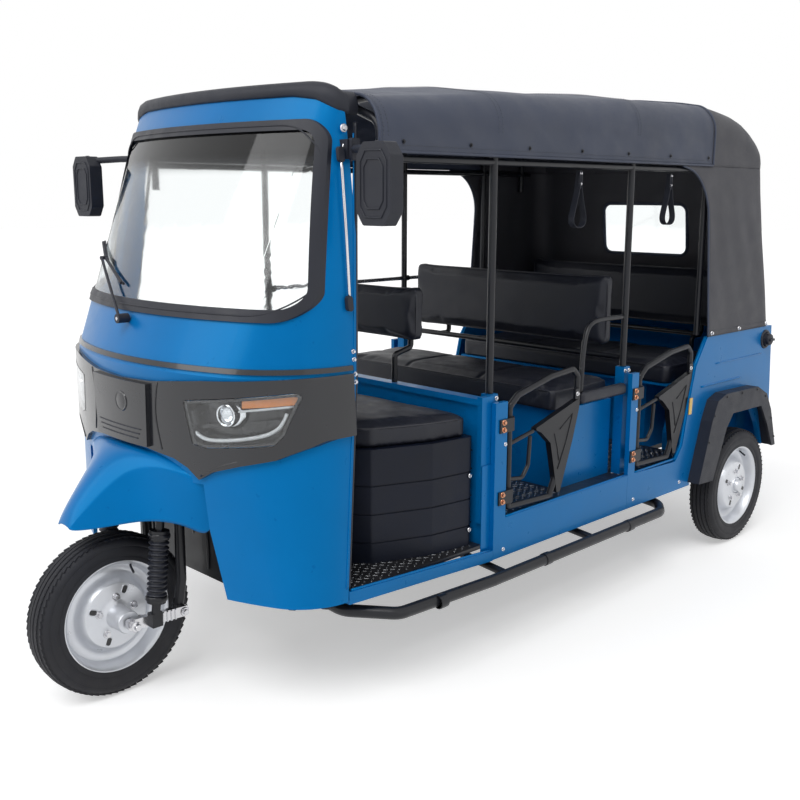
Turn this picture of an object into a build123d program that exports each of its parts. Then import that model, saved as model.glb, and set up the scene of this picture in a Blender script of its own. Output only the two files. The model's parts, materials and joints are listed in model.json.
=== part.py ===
from build123d import *
from math import cos, radians, sin, sqrt, tan
import os

# Three-wheeled passenger auto rickshaw with a closed nose, a soft canopy and three seat rows.
# Millimetres, +Z up, +X to the vehicle's left, -Y forwards.  The model is drawn with Y = 0 at
# the front axle and moved at the end so that the origin lies under the middle of its box.

# Driving dimensions
WHEELBASE = 2630
TRACK = 1240
TYRE_R = 250
TYRE_W = 104
RIM_R = 170
BODY_HALF = 640            # side panels' outer face
SIDE_SHEET = 18            # side panel, outer sheet and lining together
NOSE_WALL = 14
BELT_Z = 925               # top of the rear quarter panels
SILL_BOTTOM = 320
DRIVER_FLOOR = 377
CABIN_FLOOR = 448
FLOOR_PLATE = 12
POST_TOP = 850             # top of the painted door posts
B_POST_Y = 1055
C_POST_Y = 1821
POST_W = 45
REAR_Y = 2950              # rear face of the body at its foot
CANOPY_EDGE_Z = 1600
CANOPY_HALF = 605
CANOPY_SHEET = 12
CURTAIN_Y = 2335           # front edge of the side curtains
FRONT_END = -TYRE_R
REAR_END = 3020
RUNNING_GAP = 0.08         # turning fits: hubs, steering stem and gate pins
SEAT_GAP = 0.3             # soft pieces on what carries them

# Steering
RAKE = 20                  # degrees from upright
AXIS_FOOT_Y = -70          # where the steering axis meets the ground
STEM_R = 20
HEAD_TUBE = (655, 850)     # heights of its two ends
HANDLEBAR_Z = 1045

# Chassis
RAIL_X = 300
RAIL_W = 50
RAIL_Z = (305, 365)
REAR_RAIL_Z = (369, 429)
TUBE_R = 12.5              # roof frame

# Nose sections: height, front, half width, rear, bow radius, corner radius
NOSE = (
    (360, 92, 640, 390, 1200, 190),
    (1000, 80, 602, 460, 1100, 320),
    (1800, 408, 512, 545, 1600, 64),
)
NOSE_TOP = 1780

# Canopy sections along the roof: distance behind the front axle, height of the crown
CANOPY = ((545, 1800), (1200, 1852), (2100, 1880), (2640, 1874), (2812, 1735))
CROWN_DROP = 52
SHOULDER_R = 95


def box(x0, x1, y0, y1, z0, z1):
    return Pos((x0 + x1) / 2, (y0 + y1) / 2, (z0 + z1) / 2) * Box(x1 - x0, y1 - y0, z1 - z0)


def outline(points, corner=0):
    face = Polygon(*points, align=None)
    return fillet(face.vertices(), corner) if corner else face


def front_prism(face, y0, y1):
    """Extrude a face drawn as (x, z) from y0 back to y1."""
    return extrude(Plane((0, y1, 0), x_dir=(1, 0, 0), z_dir=(0, -1, 0)) * face, y1 - y0, dir=(0, -1, 0))


def side_prism(face, x0, x1):
    """Extrude a face drawn as (y, z) from x0 out to x1."""
    return extrude(Plane((x0, 0, 0), x_dir=(0, 1, 0), z_dir=(1, 0, 0)) * face, x1 - x0, dir=(1, 0, 0))


def plan_prism(face, z0, z1):
    return extrude(Pos(0, 0, z0) * face, z1 - z0, dir=(0, 0, 1))


def rod(points, radius, bend=0):
    """Round bar along a path of straight runs joined by arcs."""
    path = FilletPolyline(*points, radius=bend) if len(points) > 2 else Line(*points)
    return sweep(Plane(origin=path @ 0, z_dir=path % 0) * Circle(radius), path=path)


def ring(outer, inner, length, centre, axis):
    plane = Plane(origin=centre, z_dir=axis)
    return extrude(plane * (Circle(outer) - Circle(inner)), amount=length / 2, both=True)


def disc(radius, length, centre, axis):
    return extrude(Plane(origin=centre, z_dir=axis) * Circle(radius), amount=length / 2, both=True)


def solids_of(shape):
    return list(shape.solids())


def joined(*shapes):
    """Keep separate solids together as one node."""
    return Compound(children=[solid for shape in shapes for solid in solids_of(shape)])


def both_sides(shape):
    return joined(shape, mirror(shape, about=Plane.YZ))


def axis_y(z):
    """Distance of the steering axis behind the front axle at a height."""
    return AXIS_FOOT_Y + z * tan(radians(RAKE))


# ---------------------------------------------------------------- nose and cab

def nose_row(z):
    """Front, half width, rear, bow radius and corner radius of the nose at a height."""
    low, high = (NOSE[0], NOSE[1]) if z <= NOSE[1][0] else (NOSE[1], NOSE[2])
    t = (z - low[0]) / (high[0] - low[0])
    return [a + t * (b - a) for a, b in zip(low[1:], high[1:])]


def nose_plan(z, inset, open_back):
    front, half, rear, bow, corner = nose_row(z)
    front = front + inset
    half = half - inset
    bow = bow - inset
    back = rear + (60 if open_back else 0)
    cheek = front + bow - sqrt(bow * bow - half * half)
    edge = [
        ThreePointArc((-half, cheek), (0, front), (half, cheek)),
        Polyline((half, cheek), (half, back), (-half, back), (-half, cheek)),
    ]
    face = make_face(edge)
    cheeks = face.vertices().sort_by(Axis.Y)[:2]
    return Pos(0, 0, z) * fillet(cheeks, max(corner - inset, 12))


def nose(inset, open_back=False):
    """The nose's closed form, or the form that hollows it out of the back."""
    return loft([nose_plan(row[0], inset, open_back) for row in NOSE], ruled=True)


def nose_y(x, z):
    """Front of the nose at a place across and a height, round the corner as well."""
    front, half, rear, bow, corner = nose_row(z)
    inner = half - corner
    x = abs(x)
    if x <= inner * bow / (bow - corner):
        return front + bow - sqrt(bow * bow - x * x)
    centre = front + bow - sqrt((bow - corner) ** 2 - inner * inner)
    return centre - sqrt(corner * corner - (x - inner) ** 2)


SCREEN = [(-558, 1170), (558, 1170), (494, 1669), (-494, 1669)]
SCREEN_LIP_OUT = [(-568, 1148), (568, 1148), (507, 1687), (-507, 1687)]
SCREEN_LIP_IN = [(-550, 1182), (550, 1182), (484, 1658), (-484, 1658)]
SCREEN_CORNER = 58

FASCIA_PROUD = 13
LAMP_DEPTH = 46
FASCIA_LOW = [
    (611, 830), (594, 815), (539, 783), (452, 760), (370, 734), (323, 706), (285, 736),
    (235, 756), (120, 770), (0, 770),
]
FASCIA = [(0, 964), (156, 969), (342, 988), (497, 998), (700, 1010), (700, 846)] + FASCIA_LOW
LAMP = [(278, 929), (580, 967), (553, 848), (534, 821), (348, 798), (304, 808)]
LAMP_AT = (403, 898)       # projector
LAMP_CORNER = 14
ARCH_HALF = 338            # half width of the wheel opening in the apron
STRIP_Z = (1012, 1026)


def symmetric(points):
    """Close a half outline, drawn from the centre line outwards and back, with its mirror image."""
    return points + [(-x, z) for x, z in reversed(points) if x > 0]


def lamp_prism(shrink):
    face = offset(outline(LAMP, LAMP_CORNER), -shrink)
    return both_sides(front_prism(face, -100, 500))


def front_cowl():
    shell = nose(0) - nose(NOSE_WALL, open_back=True)
    shell &= box(-700, 700, 0, 500, 360, NOSE_TOP)
    shell -= front_prism(outline(SCREEN, SCREEN_CORNER), -100, 530)
    arch = outline([(-ARCH_HALF - 52, 350), (ARCH_HALF + 52, 350), (ARCH_HALF, 560),
                    (ARCH_HALF - 14, 690), (-ARCH_HALF + 14, 690), (-ARCH_HALF, 560)])
    shell -= front_prism(arch, -100, 300)
    for side in (1, -1):
        shell -= mirror_if(side, front_prism(offset(outline(LAMP, LAMP_CORNER), -3), -100, 349))
    return shell


def mirror_if(side, shape):
    return shape if side > 0 else mirror(shape, about=Plane.YZ)


def front_fascia():
    band = nose(-FASCIA_PROUD) - nose(0)
    band &= front_prism(outline(symmetric(FASCIA)), -100, 600)
    band &= box(-700, 700, -100, 440, 600, 1100)
    panel = nose(-FASCIA_PROUD - 12) - nose(-FASCIA_PROUD + 1)
    panel &= front_prism(outline([(-140, 776), (140, 776), (150, 960), (-150, 960)]), -100, 300)
    band += panel
    for side in (1, -1):
        band -= mirror_if(side, front_prism(outline(LAMP, LAMP_CORNER), -100, 420))
    strip = nose(-6) - nose(0)
    strip &= box(-700, 700, -100, 446, *STRIP_Z)
    return joined(band, strip)


def headlamp(side):
    face = offset(outline(LAMP, LAMP_CORNER), -4)
    inner = offset(outline(LAMP, LAMP_CORNER), -10)
    tray = (nose(-8) - nose(LAMP_DEPTH)) & front_prism(face, -100, 343)
    hollow = (nose(-30) - nose(LAMP_DEPTH - 8)) & front_prism(inner, -100, 332)
    tray -= hollow
    x, z = LAMP_AT
    barrel = ring(31, 25, 36, (x, nose_y(x, z) + 32, z), (0, 1, 0))
    ball = disc(25.5, 8, (x, nose_y(x, z) + 30, z), (0, 1, 0))
    stem = disc(14, 20, (x, nose_y(x, z) + 44, z), (0, 1, 0))
    tray += barrel + ball + stem
    return mirror_if(side, tray)


def headlamp_lens(side):
    face = offset(outline(LAMP, LAMP_CORNER), -1.2)
    lens = (nose(-FASCIA_PROUD - 1) - nose(-FASCIA_PROUD + 4)) & front_prism(face, -100, 345)
    return mirror_if(side, lens)


def windscreen_glass():
    sheet = nose(1) - nose(7)
    return sheet & front_prism(offset(outline(SCREEN, SCREEN_CORNER), -0.6), -100, 530)


def windscreen_gasket():
    lip = nose(-8) - nose(0)
    frame = front_prism(outline(SCREEN_LIP_OUT, SCREEN_CORNER + 14), -100, 520)
    frame -= front_prism(outline(SCREEN_LIP_IN, SCREEN_CORNER - 8), -120, 540)
    return lip & frame


VISOR = [
    (0, 1750), (380, 1750), (452, 1738), (500, 1704), (700, 1700), (700, 1796), (0, 1796),
]
VISOR_BRIM = 22


def roof_visor():
    cap = nose(-VISOR_BRIM) & front_prism(outline(symmetric(VISOR)), 0, CANOPY[0][0] - SEAT_GAP)
    cap -= nose(0) & box(-700, 700, -100, 600, 360, NOSE_TOP)
    return max(solids_of(cap), key=lambda solid: solid.volume)


FENDER_SHEET = 8
# Fender sections: distance behind the front axle, then its half outline as (across, height)
# for the lower edge, the crease, the upper facet and the crown
FENDER = (
    (-128, (64, 549), (44, 572), (22, 582), 586),
    (-50, (122, 556), (84, 645), (30, 664), 670),
    (20, (182, 566), (138, 706), (70, 740), 748),
    (110, (262, 564), (306, 682), (225, 752), 800),
    (172, (312, 507), (336, 664), (250, 750), 800),
)
FENDER_GAP = 8             # under the fascia's lower edge


def fender_section(row, inset):
    y, (low_x, low_z), (crease_x, crease_z), (facet_x, facet_z), crown = row
    half = [
        (0, crown - inset),
        (facet_x - 0.5 * inset, facet_z - inset),
        (crease_x - inset, crease_z - 0.4 * inset),
        (low_x - inset, low_z - 1.5 * inset),
    ]
    return Plane((0, y, 0), x_dir=(1, 0, 0), z_dir=(0, -1, 0)) * outline(symmetric(half))


def front_fender():
    outer = loft([fender_section(row, 0) for row in FENDER], ruled=True)
    rows = [(FENDER[0][0] + FENDER_SHEET, *FENDER[0][1:]), *FENDER[1:-1], (FENDER[-1][0] + 1, *FENDER[-1][1:])]
    hood = outer - loft([fender_section(row, FENDER_SHEET) for row in rows], ruled=True)
    above = [(x, z - FENDER_GAP) for x, z in reversed(FASCIA_LOW)]
    above = [(-x, z) for x, z in reversed(above[1:])] + above
    hood -= front_prism(outline([*above, (611, 1000), (-611, 1000)]), -200, 300)
    hood -= nose(-SEAT_GAP) & box(-400, 400, 0, 400, 688, 900)
    return hood - front_cowl()


def wiper():
    x, z = -34, 1128
    seat = nose_y(x, z - 14) - SEAT_GAP
    boss = disc(14, 36, (x, seat - 18, z), (0, 1, 0))
    elbow = Vector(-337, nose_y(337, 1286) - 26, 1286)
    knee = Vector(-337, nose_y(337, 1286) - 12, 1286)
    arm = rod([(x, seat - 28, z), elbow], 4.5)
    foot = Vector(-130, nose_y(130, 1222) - 12, 1222)
    tip = Vector(-470, nose_y(470, 1328) - 12, 1328)
    blade = rod([foot, knee], 5) + rod([knee, tip], 5) + Pos(*knee) * Sphere(6)
    link = disc(6, 22, (elbow + knee) * 0.5, (0, 1, 0))
    return boss + arm + link + blade


def mirrors():
    head_face = outline([(-62, 70), (-38, 104), (38, 104), (62, 70), (62, -70), (38, -104), (-38, -104), (-62, -70)], 10)
    head = Pos(756, 0, 1512) * front_prism(head_face, 381, 425)
    arm = rod([(545, 497, 1606), (640, 470, 1606), (748, 404, 1600), (748, 404, 1560)], 11, 24)
    foot = box(522, 554, 476, 518, 1580, 1632) - nose(0)
    return both_sides(head + arm - nose(-SEAT_GAP) + foot)


FIREWALL_Y = 352


def firewall():
    plate = box(-700, 700, FIREWALL_Y, FIREWALL_Y + 8, RAIL_Z[1] + SEAT_GAP, 930)
    wing = nose(NOSE_WALL + SEAT_GAP, open_back=True)
    return plate & wing


def dashboard():
    shelf = nose(LAMP_DEPTH + 6, open_back=True) & box(-700, 700, 0, FIREWALL_Y + 8, 930.3, 946)
    shelf -= disc(48, 80, (0, axis_y(938), 938), (0, 0, 1))
    pod = front_prism(outline([(-130, 945), (130, 945), (95, 1070), (-95, 1070)], 12), 140, 188)
    return shelf + pod


# ---------------------------------------------------------------- chassis and floor

def along_axis(z0, z1):
    """Centre and length of the stretch of the steering axis between two heights."""
    centre = (0, axis_y((z0 + z1) / 2), (z0 + z1) / 2)
    return centre, (z1 - z0) / cos(radians(RAKE))


AXIS_DIR = (0, sin(radians(RAKE)), cos(radians(RAKE)))


def chassis_frame():
    frame = None
    for x in (-RAIL_X, RAIL_X):
        low = box(x - RAIL_W / 2, x + RAIL_W / 2, 330, 2200, *RAIL_Z)
        high = box(x - RAIL_W / 2, x + RAIL_W / 2, 2080, REAR_Y - 40, *REAR_RAIL_Z)
        pack = box(x - RAIL_W / 2, x + RAIL_W / 2, 2080, 2200, RAIL_Z[1], REAR_RAIL_Z[0])
        frame = low + high + pack if frame is None else frame + low + high + pack
    for y in (330, 1010, 1500, 2080):
        frame += box(-RAIL_X, RAIL_X, y, y + 40, 325, RAIL_Z[1])
    for y in (1060, 1480, 1880):
        frame += box(-600, 600, y, y + 45, RAIL_Z[1], CABIN_FLOOR - FLOOR_PLATE)
    for y in (2230, REAR_Y - 80):
        frame += box(-RAIL_X, RAIL_X, y, y + 40, *REAR_RAIL_Z)
    centre, length = along_axis(*HEAD_TUBE)
    head = ring(34, STEM_R + RUNNING_GAP, length, centre, AXIS_DIR)
    down = rod([(0, axis_y(760) + 30, 770), (0, 312, 470), (0, 331, 345)], 19, 90)
    return frame + down - disc(30, length + 60, centre, AXIS_DIR) + head


def floor_pan():
    engine_hole = box(-240, 240, 560, 970, 340, 400)
    driver = box(-BODY_HALF + SIDE_SHEET, BODY_HALF - SIDE_SHEET, FIREWALL_Y + 9, 983,
                 DRIVER_FLOOR - FLOOR_PLATE, DRIVER_FLOOR) - engine_hole
    cabin = box(-BODY_HALF + SIDE_SHEET, BODY_HALF - SIDE_SHEET, 1006, 2262,
                CABIN_FLOOR - FLOOR_PLATE, CABIN_FLOOR)
    return joined(driver, cabin)


def bulkhead():
    wall = box(-600, 600, 985, 1003, DRIVER_FLOOR - FLOOR_PLATE, 850)
    cap = box(-600, 600, 975, 1018, 835, 855)
    shape = wall + cap
    for x in (-610, 610):
        shape += box(x - 10, x + 10, 985, 1003, DRIVER_FLOOR - FLOOR_PLATE, 862)
        shape += box(x - 10, x + 10, 975, 1030, CABIN_FLOOR + 0.5, 862)
    return shape


QUARTER_FRONT = [(2141, 442), (2190, 499), (2222, 652), (2264, 816), (2340, BELT_Z)]
ARCH_CUT = [(2350, 300), (2452, 537), (2502, 594), (2754, 590), (2823, 499), (2885, 380), (2885, 300)]


def side_panel(side):
    """Driver's door sill, door post and the sill of the middle row."""
    x0, x1 = BODY_HALF - SIDE_SHEET, BODY_HALF
    driver_sill = side_prism(outline([(394.6, 350), (1018, 318), (1018, 352), (394.6, 388)]), x0, x1)
    post = B_POST_Y + POST_W / 2
    seam = C_POST_Y - POST_W / 2 - 1
    shape = side_prism(outline([
        (1019, SILL_BOTTOM), (seam, SILL_BOTTOM), (seam, CABIN_FLOOR + 4), (post, CABIN_FLOOR + 4),
        (post, POST_TOP - 10), (1019, POST_TOP - 10)]), x0, x1)
    return mirror_if(side, driver_sill + shape)


def rear_quarter(side):
    x0, x1 = BODY_HALF - SIDE_SHEET, BODY_HALF
    post0, post1 = C_POST_Y - POST_W / 2, C_POST_Y + POST_W / 2
    face = outline([
        (post0, SILL_BOTTOM), (2262, SILL_BOTTOM), (REAR_Y, SILL_BOTTOM), (REAR_Y, 400),
        (REAR_Y - 45, BELT_Z), *reversed(QUARTER_FRONT),
        (post1, CABIN_FLOOR + 4), (post1, POST_TOP - 10), (post0, POST_TOP - 10)])
    panel = side_prism(face, x0, x1)
    panel -= side_prism(outline(ARCH_CUT), x0 - 50, x1 + 50)
    panel -= box(x0 - 50, x1 + 50, 2262, REAR_Y + 50, 300, 352)
    panel -= box(x0 - 50, x1 + 50, 2820, REAR_Y + 50, 300, 388)
    return mirror_if(side, panel)


FLARE_OUT = [(2248, 336), (2328, 585), (2366, 664), (2432, 686), (2712, 680), (2800, 638), (2852, 560), (2916, 389)]
FLARE_IN = [(2885, 389), (2823, 499), (2754, 590), (2502, 594), (2452, 537), (2362, 330)]
FLARE_X = 692


def arch_flares():
    band = side_prism(outline(FLARE_OUT + FLARE_IN), BODY_HALF, FLARE_X)
    lip_out = [(2282, 330), (2358, 585), (2392, 648), (2440, 662), (2706, 657), (2782, 622), (2830, 552), (2892, 389)]
    hollow = side_prism(outline(lip_out + [(2885, 380), (2823, 499), (2754, 590), (2502, 594), (2452, 537), (2362, 320)]),
                        BODY_HALF - 1, FLARE_X - 10)
    return both_sides(band - hollow)


def wheel_wells():
    """Inner housings over the rear wheels, up to the seat."""
    wall = side_prism(outline([(2262, 352), (REAR_Y - 60, 352), (REAR_Y - 60, 640), (2300, 640), (2262, 520)]), 505, 513)
    top = side_prism(outline([(2262, 352), (2274, 352), (2274, 515), (2308, 628), (REAR_Y - 60, 628),
                              (REAR_Y - 60, 640), (2300, 640), (2262, 520)]), 513, BODY_HALF - SIDE_SHEET)
    return both_sides(wall + top)


def rear_panel():
    half = BODY_HALF - SIDE_SHEET
    plate = side_prism(outline([(REAR_Y - 12, 388), (REAR_Y, 388), (REAR_Y - 45, BELT_Z), (REAR_Y - 57, BELT_Z)]),
                       -half, half)
    return plate


def tail_lamps():
    lamp = box(470, 590, REAR_Y - 22, REAR_Y + 16, 560, 700)
    lamp -= rear_panel()
    lamp &= box(400, 700, REAR_Y - 21, REAR_Y + 60, 500, 800)
    outer = max(solids_of(lamp), key=lambda solid: solid.center().Y)
    return both_sides(outer)


def rear_bumper():
    bar = rod([(-600, REAR_Y + 10, 452), (-560, REAR_END - 19, 452), (560, REAR_END - 19, 452),
               (600, REAR_Y + 10, 452)], 19, 12)
    for x in (-250, 250):
        bar += box(x - 20, x + 20, REAR_Y - 4, REAR_END - 19, 438, 466)
    return bar - rear_panel()


# ---------------------------------------------------------------- roof

def canopy_section(y, crown, inset):
    half = CANOPY_HALF - inset
    shoulder = crown - CROWN_DROP - inset
    face = make_face([
        ThreePointArc((-half, shoulder), (0, crown - inset), (half, shoulder)),
        Polyline((half, shoulder), (half, CANOPY_EDGE_Z), (-half, CANOPY_EDGE_Z), (-half, shoulder)),
    ])
    top = face.vertices().sort_by(Axis.Y)[-2:]
    face = fillet(top, SHOULDER_R - inset)
    return Plane((0, y, 0), x_dir=(1, 0, 0), z_dir=(0, -1, 0)) * face


def canopy_form(inset):
    rows = [list(row) for row in CANOPY]
    rows[0][0] -= 20 if inset else 0
    rows[-1][0] -= inset
    return loft([canopy_section(y, crown, inset) for y, crown in rows], ruled=True)


def canopy_top():
    return canopy_form(0) - Pos(0, 0, -1) * canopy_form(CANOPY_SHEET)


def curtain_plan(z, half, rear, inset):
    face = outline([(-half + inset, 2000 - inset), (half - inset, 2000 - inset),
                    (half - inset, rear - inset), (-half + inset, rear - inset)])
    back = face.vertices().sort_by(Axis.Y)[-2:]
    return Pos(0, 0, z) * fillet(back, 85 - inset)


WINDOW = [(-225, 1212), (225, 1212), (225, 1448), (-225, 1448)]


def canopy_back():
    belt = BELT_Z + 1
    top = CANOPY_EDGE_Z - SEAT_GAP
    outer = loft([curtain_plan(belt, 648, REAR_Y - 40, 0), curtain_plan(top, CANOPY_HALF, 2828, 0)], ruled=True)
    inner = loft([curtain_plan(belt, 648, REAR_Y - 40, CANOPY_SHEET),
                  curtain_plan(top, CANOPY_HALF, 2828, CANOPY_SHEET)], ruled=True)
    wall = outer - inner
    doorway = side_prism(outline([(1900, 800), (CURTAIN_Y, 800), (CURTAIN_Y, 1640), (1900, 1640)]), -800, 800)
    spandrel = side_prism(outline([(2140, 1400), (CURTAIN_Y, 1400), (CURTAIN_Y, 1640), (2140, 1640)]), -800, 800)
    spandrel -= side_prism(Pos(2140, 1400) * Circle(CURTAIN_Y - 2140), -800, 800)
    wall = wall - (doorway - spandrel)
    return wall - front_prism(outline(WINDOW, 40), 2700, 3100)


def rear_window():
    belt = BELT_Z + 1
    top = CANOPY_EDGE_Z - SEAT_GAP
    outer = loft([curtain_plan(belt, 648, REAR_Y - 40, 5), curtain_plan(top, CANOPY_HALF, 2828, 5)], ruled=True)
    inner = loft([curtain_plan(belt, 648, REAR_Y - 40, 7), curtain_plan(top, CANOPY_HALF, 2828, 7)], ruled=True)
    return (outer - inner) & front_prism(offset(outline(WINDOW, 40), -0.4), 2700, 3100)


POST_X = 588


def crown_at(y):
    for (y0, c0), (y1, c1) in zip(CANOPY, CANOPY[1:]):
        if y <= y1:
            return c0 + (c1 - c0) * (y - y0) / (y1 - y0)


def roof_frame():
    frame = None
    for y, foot in ((572, 1560), (B_POST_Y, 862), (C_POST_Y, 862), (CURTAIN_Y + 20, BELT_Z + 2), (2640, 1560)):
        crown = crown_at(y) - CANOPY_SHEET - TUBE_R - 5
        bow = rod([(-POST_X + 8, y, 1500), (-POST_X + 8, y, crown - 90), (-450, y, crown - 40), (0, y, crown),
                   (450, y, crown - 40), (POST_X - 8, y, crown - 90), (POST_X - 8, y, 1500)], TUBE_R, 45)
        frame = bow if frame is None else frame + bow
        if foot < 1500:
            for x in (-POST_X, POST_X):
                frame += rod([(x + (8 if x < 0 else -8), y, 1510), (x + (8 if x < 0 else -8), y, foot)], TUBE_R)
    for x in (-POST_X + 8, POST_X - 8):
        frame += rod([(x, 560, 1585), (x, 2700, 1585)], 11)
    return frame


def door_posts():
    """Inner square tubes that the roof posts stand on."""
    posts = None
    for y in (B_POST_Y, C_POST_Y):
        post = box(562, 600, y - 19, y + 19, CABIN_FLOOR + 0.5, 860)
        posts = post if posts is None else posts + post
    return both_sides(posts)


def guard_rail_right():
    rails = None
    for z in (930, 1120):
        rail = rod([(-POST_X + 8, B_POST_Y + TUBE_R + 1, z), (-POST_X + 8, CURTAIN_Y + 6, z)], 9)
        rails = rail if rails is None else joined(rails, rail)
    return rails - roof_frame()


# ---------------------------------------------------------------- seats

DRIVER_PLAN = [(-596, 968), (596, 968), (574, 800), (500, 612), (400, 530), (-400, 530), (-500, 612), (-574, 800)]


def driver_seat_base():
    low = DRIVER_FLOOR + SEAT_GAP
    plan = outline(DRIVER_PLAN, 18)
    shell = plan_prism(plan, low, 736) - plan_prism(offset(plan, -10), low - 1, 726)
    for z in (440, 530, 620):
        shell -= plan_prism(plan, z, z + 6) - plan_prism(offset(plan, -4), z - 1, z + 7)
    return shell


def driver_cushion():
    plan = offset(outline(DRIVER_PLAN, 18), 2)
    return plan_prism(plan, 736 + SEAT_GAP, 818)


def driver_backrest():
    pad = box(-300, 300, 1012, 1068, 985, 1198)
    return fillet(pad.edges().filter_by(Axis.Y), 25)


def seat_box(half, y0, y1, z0, z1, wall=8):
    return box(-half, half, y0, y1, z0, z1) - box(-half + wall, half - wall, y0 + wall, y1 - wall, z0 - 1, z1 - wall)


def middle_seat_base():
    return seat_box(555, 1470, 1790, CABIN_FLOOR + 0.5, 738)


def middle_cushion():
    pad = box(-572, 572, 1420, 1795, 738 + SEAT_GAP, 828)
    return fillet(pad.edges().filter_by(Axis.Z), 30)


def middle_backrest():
    pad = box(-520, 520, 1812, 1872, 912, 1208)
    return fillet(pad.edges().filter_by(Axis.Y), 30)


def rear_seat_base():
    base = seat_box(410, 2275, 2700, REAR_RAIL_Z[1] + 0.5, 738)
    return base + box(-560, 560, 2190, 2700, 730, 738)


def rear_cushion():
    pad = box(-572, 572, 2170, 2640, 738 + SEAT_GAP, 828)
    return fillet(pad.edges().filter_by(Axis.Z), 30)


def rear_backrest():
    pad = box(-560, 560, 2690, 2750, 900, 1190)
    return fillet(pad.edges().filter_by(Axis.Y), 30)


def seat_frames():
    """Tubes that carry the three backrests."""
    r = 10
    behind = r + SEAT_GAP
    driver = []
    for x in (-200, 200):
        y = 1068 + behind
        driver.append(rod([(x, 1000, 855 + SEAT_GAP), (x, 1000, 950), (x, y, 968), (x, y, 1170)], r, 16))
    middle = rod([(-567, C_POST_Y, 893), (567, C_POST_Y, 893)], r + 1)
    for x in (-360, 360):
        y = 1872 + behind
        middle += rod([(x, C_POST_Y, 893), (x, y, 893), (x, y, 1180)], r, 16)
    y = 2750 + behind
    rear = rod([(-380, y, 872), (380, y, 872)], r + 1)
    for x in (-380, 380):
        rear += rod([(x, 2680, 738 + SEAT_GAP), (x, 2680, 870), (x, y, 870), (x, y, 1160)], r, 24)
    return joined(*driver, middle, rear)


# ---------------------------------------------------------------- gates and side fittings

GATE_X = 622
GATE_PIN_R = 11
GATE_PIN_Y = 30            # behind the post's rear edge
# Gate outline from its pin, as (behind the pin, height)
GATE_TOP = [(0, 500), (0, 815), (42, 848), (215, 888), (340, 899), (369, 872), (369, 780)]
GATE_FOOT = [(0, 500), (0, 478), (225, 468), (250, 520), (262, 560)]
GATE_LOOP = [(0, 572), (74, 562), (105, 600), (112, 700)]
GATE_PANEL = [(122, 722), (372, 794), (372, 764), (338, 650), (274, 476), (256, 476), (238, 556), (212, 660), (160, 704)]
GATE_HINGES = (522, 762)
HINGE_H = 44


def gate(post_y):
    pin_y = post_y + POST_W / 2 + GATE_PIN_Y
    def place(points):
        return [(GATE_X, pin_y + y, z) for y, z in points]
    shape = rod(place(GATE_TOP), GATE_PIN_R, 20)
    shape += rod(place(GATE_FOOT), GATE_PIN_R, 9)
    shape += rod(place(GATE_LOOP), 7, 24)
    shape += rod(place([(0, 690), (126, 714)]), 7)
    face = outline([(pin_y + y, z) for y, z in GATE_PANEL], 5)
    shape += side_prism(face, GATE_X - 11, GATE_X + 11)
    return shape


def gate_hinges():
    parts = []
    for post_y in (B_POST_Y, C_POST_Y):
        pin_y = post_y + POST_W / 2 + GATE_PIN_Y
        for z in GATE_HINGES:
            barrel = disc(17, HINGE_H, (GATE_X, pin_y, z), (0, 0, 1))
            leaf = box(BODY_HALF, BODY_HALF + 5, pin_y - 70, pin_y, z - HINGE_H / 2, z + HINGE_H / 2)
            web = box(BODY_HALF - 12, BODY_HALF + 5, pin_y - 24, pin_y, z - HINGE_H / 2, z + HINGE_H / 2)
            bore = disc(GATE_PIN_R + RUNNING_GAP, HINGE_H + 2, (GATE_X, pin_y, z), (0, 0, 1))
            parts += solids_of(barrel + leaf + web - bore)
    return Compound(children=parts)


def arm_rest():
    pad = side_prism(outline([(1500, 760), (1500, 806), (1530, 812), (1798, 806), (1798, 758)], 8), 588, 630)
    rail = rod([(POST_X - 8, C_POST_Y - TUBE_R - 1, 1046), (POST_X - 8, 1640, 1048), (POST_X - 6, 1578, 1020),
                (POST_X + 14, 1532, 900), (POST_X + 20, 1516, 800)], 9, 30)
    return pad + rail - roof_frame()


def grab_straps():
    parts = []
    for y in (1500, 2080):
        hanger = box(574, 586, y - 10, y + 10, 1452, 1573.5)
        loop = ring(40, 31, 14, (580, y, 1418), (1, 0, 0))
        parts += solids_of(hanger + loop)
    return Compound(children=parts)


def side_step():
    bar = rod([(340, 430, 318), (560, 440, 296), (672, 560, 284), (690, 960, 280), (690, 1960, 284),
               (640, 2030, 290), (340, 2040, 318)], 19, 60)
    for y in (1030, 1520):
        bar += rod([(RAIL_X + RAIL_W / 2, y, 318), (690, y, 284)], 13)
    return bar - chassis_frame()


def fuel_filler():
    boss = disc(30, 14, (BODY_HALF + 7, 2850, 868), (1, 0, 0))
    return boss + disc(24, 8, (BODY_HALF + 16, 2850, 868), (1, 0, 0))


# ---------------------------------------------------------------- power train and rear axle

ENGINE = (-200, 200, 600, 940, 265, 660)


def engine():
    block = box(*ENGINE)
    for x0, x1 in ((-RAIL_X + RAIL_W / 2, -200), (200, RAIL_X - RAIL_W / 2)):
        for y in (650, 850):
            block += box(x0, x1, y, y + 50, 320, 345)
    return block


AXLE_Z = TYRE_R
AXLE_TUBE_R = 30


def rear_axle():
    half = TRACK / 2
    tube = disc(AXLE_TUBE_R, 2 * (half - 92), (0, WHEELBASE, AXLE_Z), (1, 0, 0))
    tube += disc(92, 120, (0, WHEELBASE, AXLE_Z), (1, 0, 0))
    tube += disc(36, 150, (0, WHEELBASE - 85, AXLE_Z), (0, 1, 0))
    tube += disc(15, 2 * (half + 20), (0, WHEELBASE, AXLE_Z), (1, 0, 0))
    return tube


def drive_shaft():
    start = Vector(0, ENGINE[3] + 0.8, 290)
    end = Vector(0, WHEELBASE - 160.8, AXLE_Z)
    return rod([start, end], 20)


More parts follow.
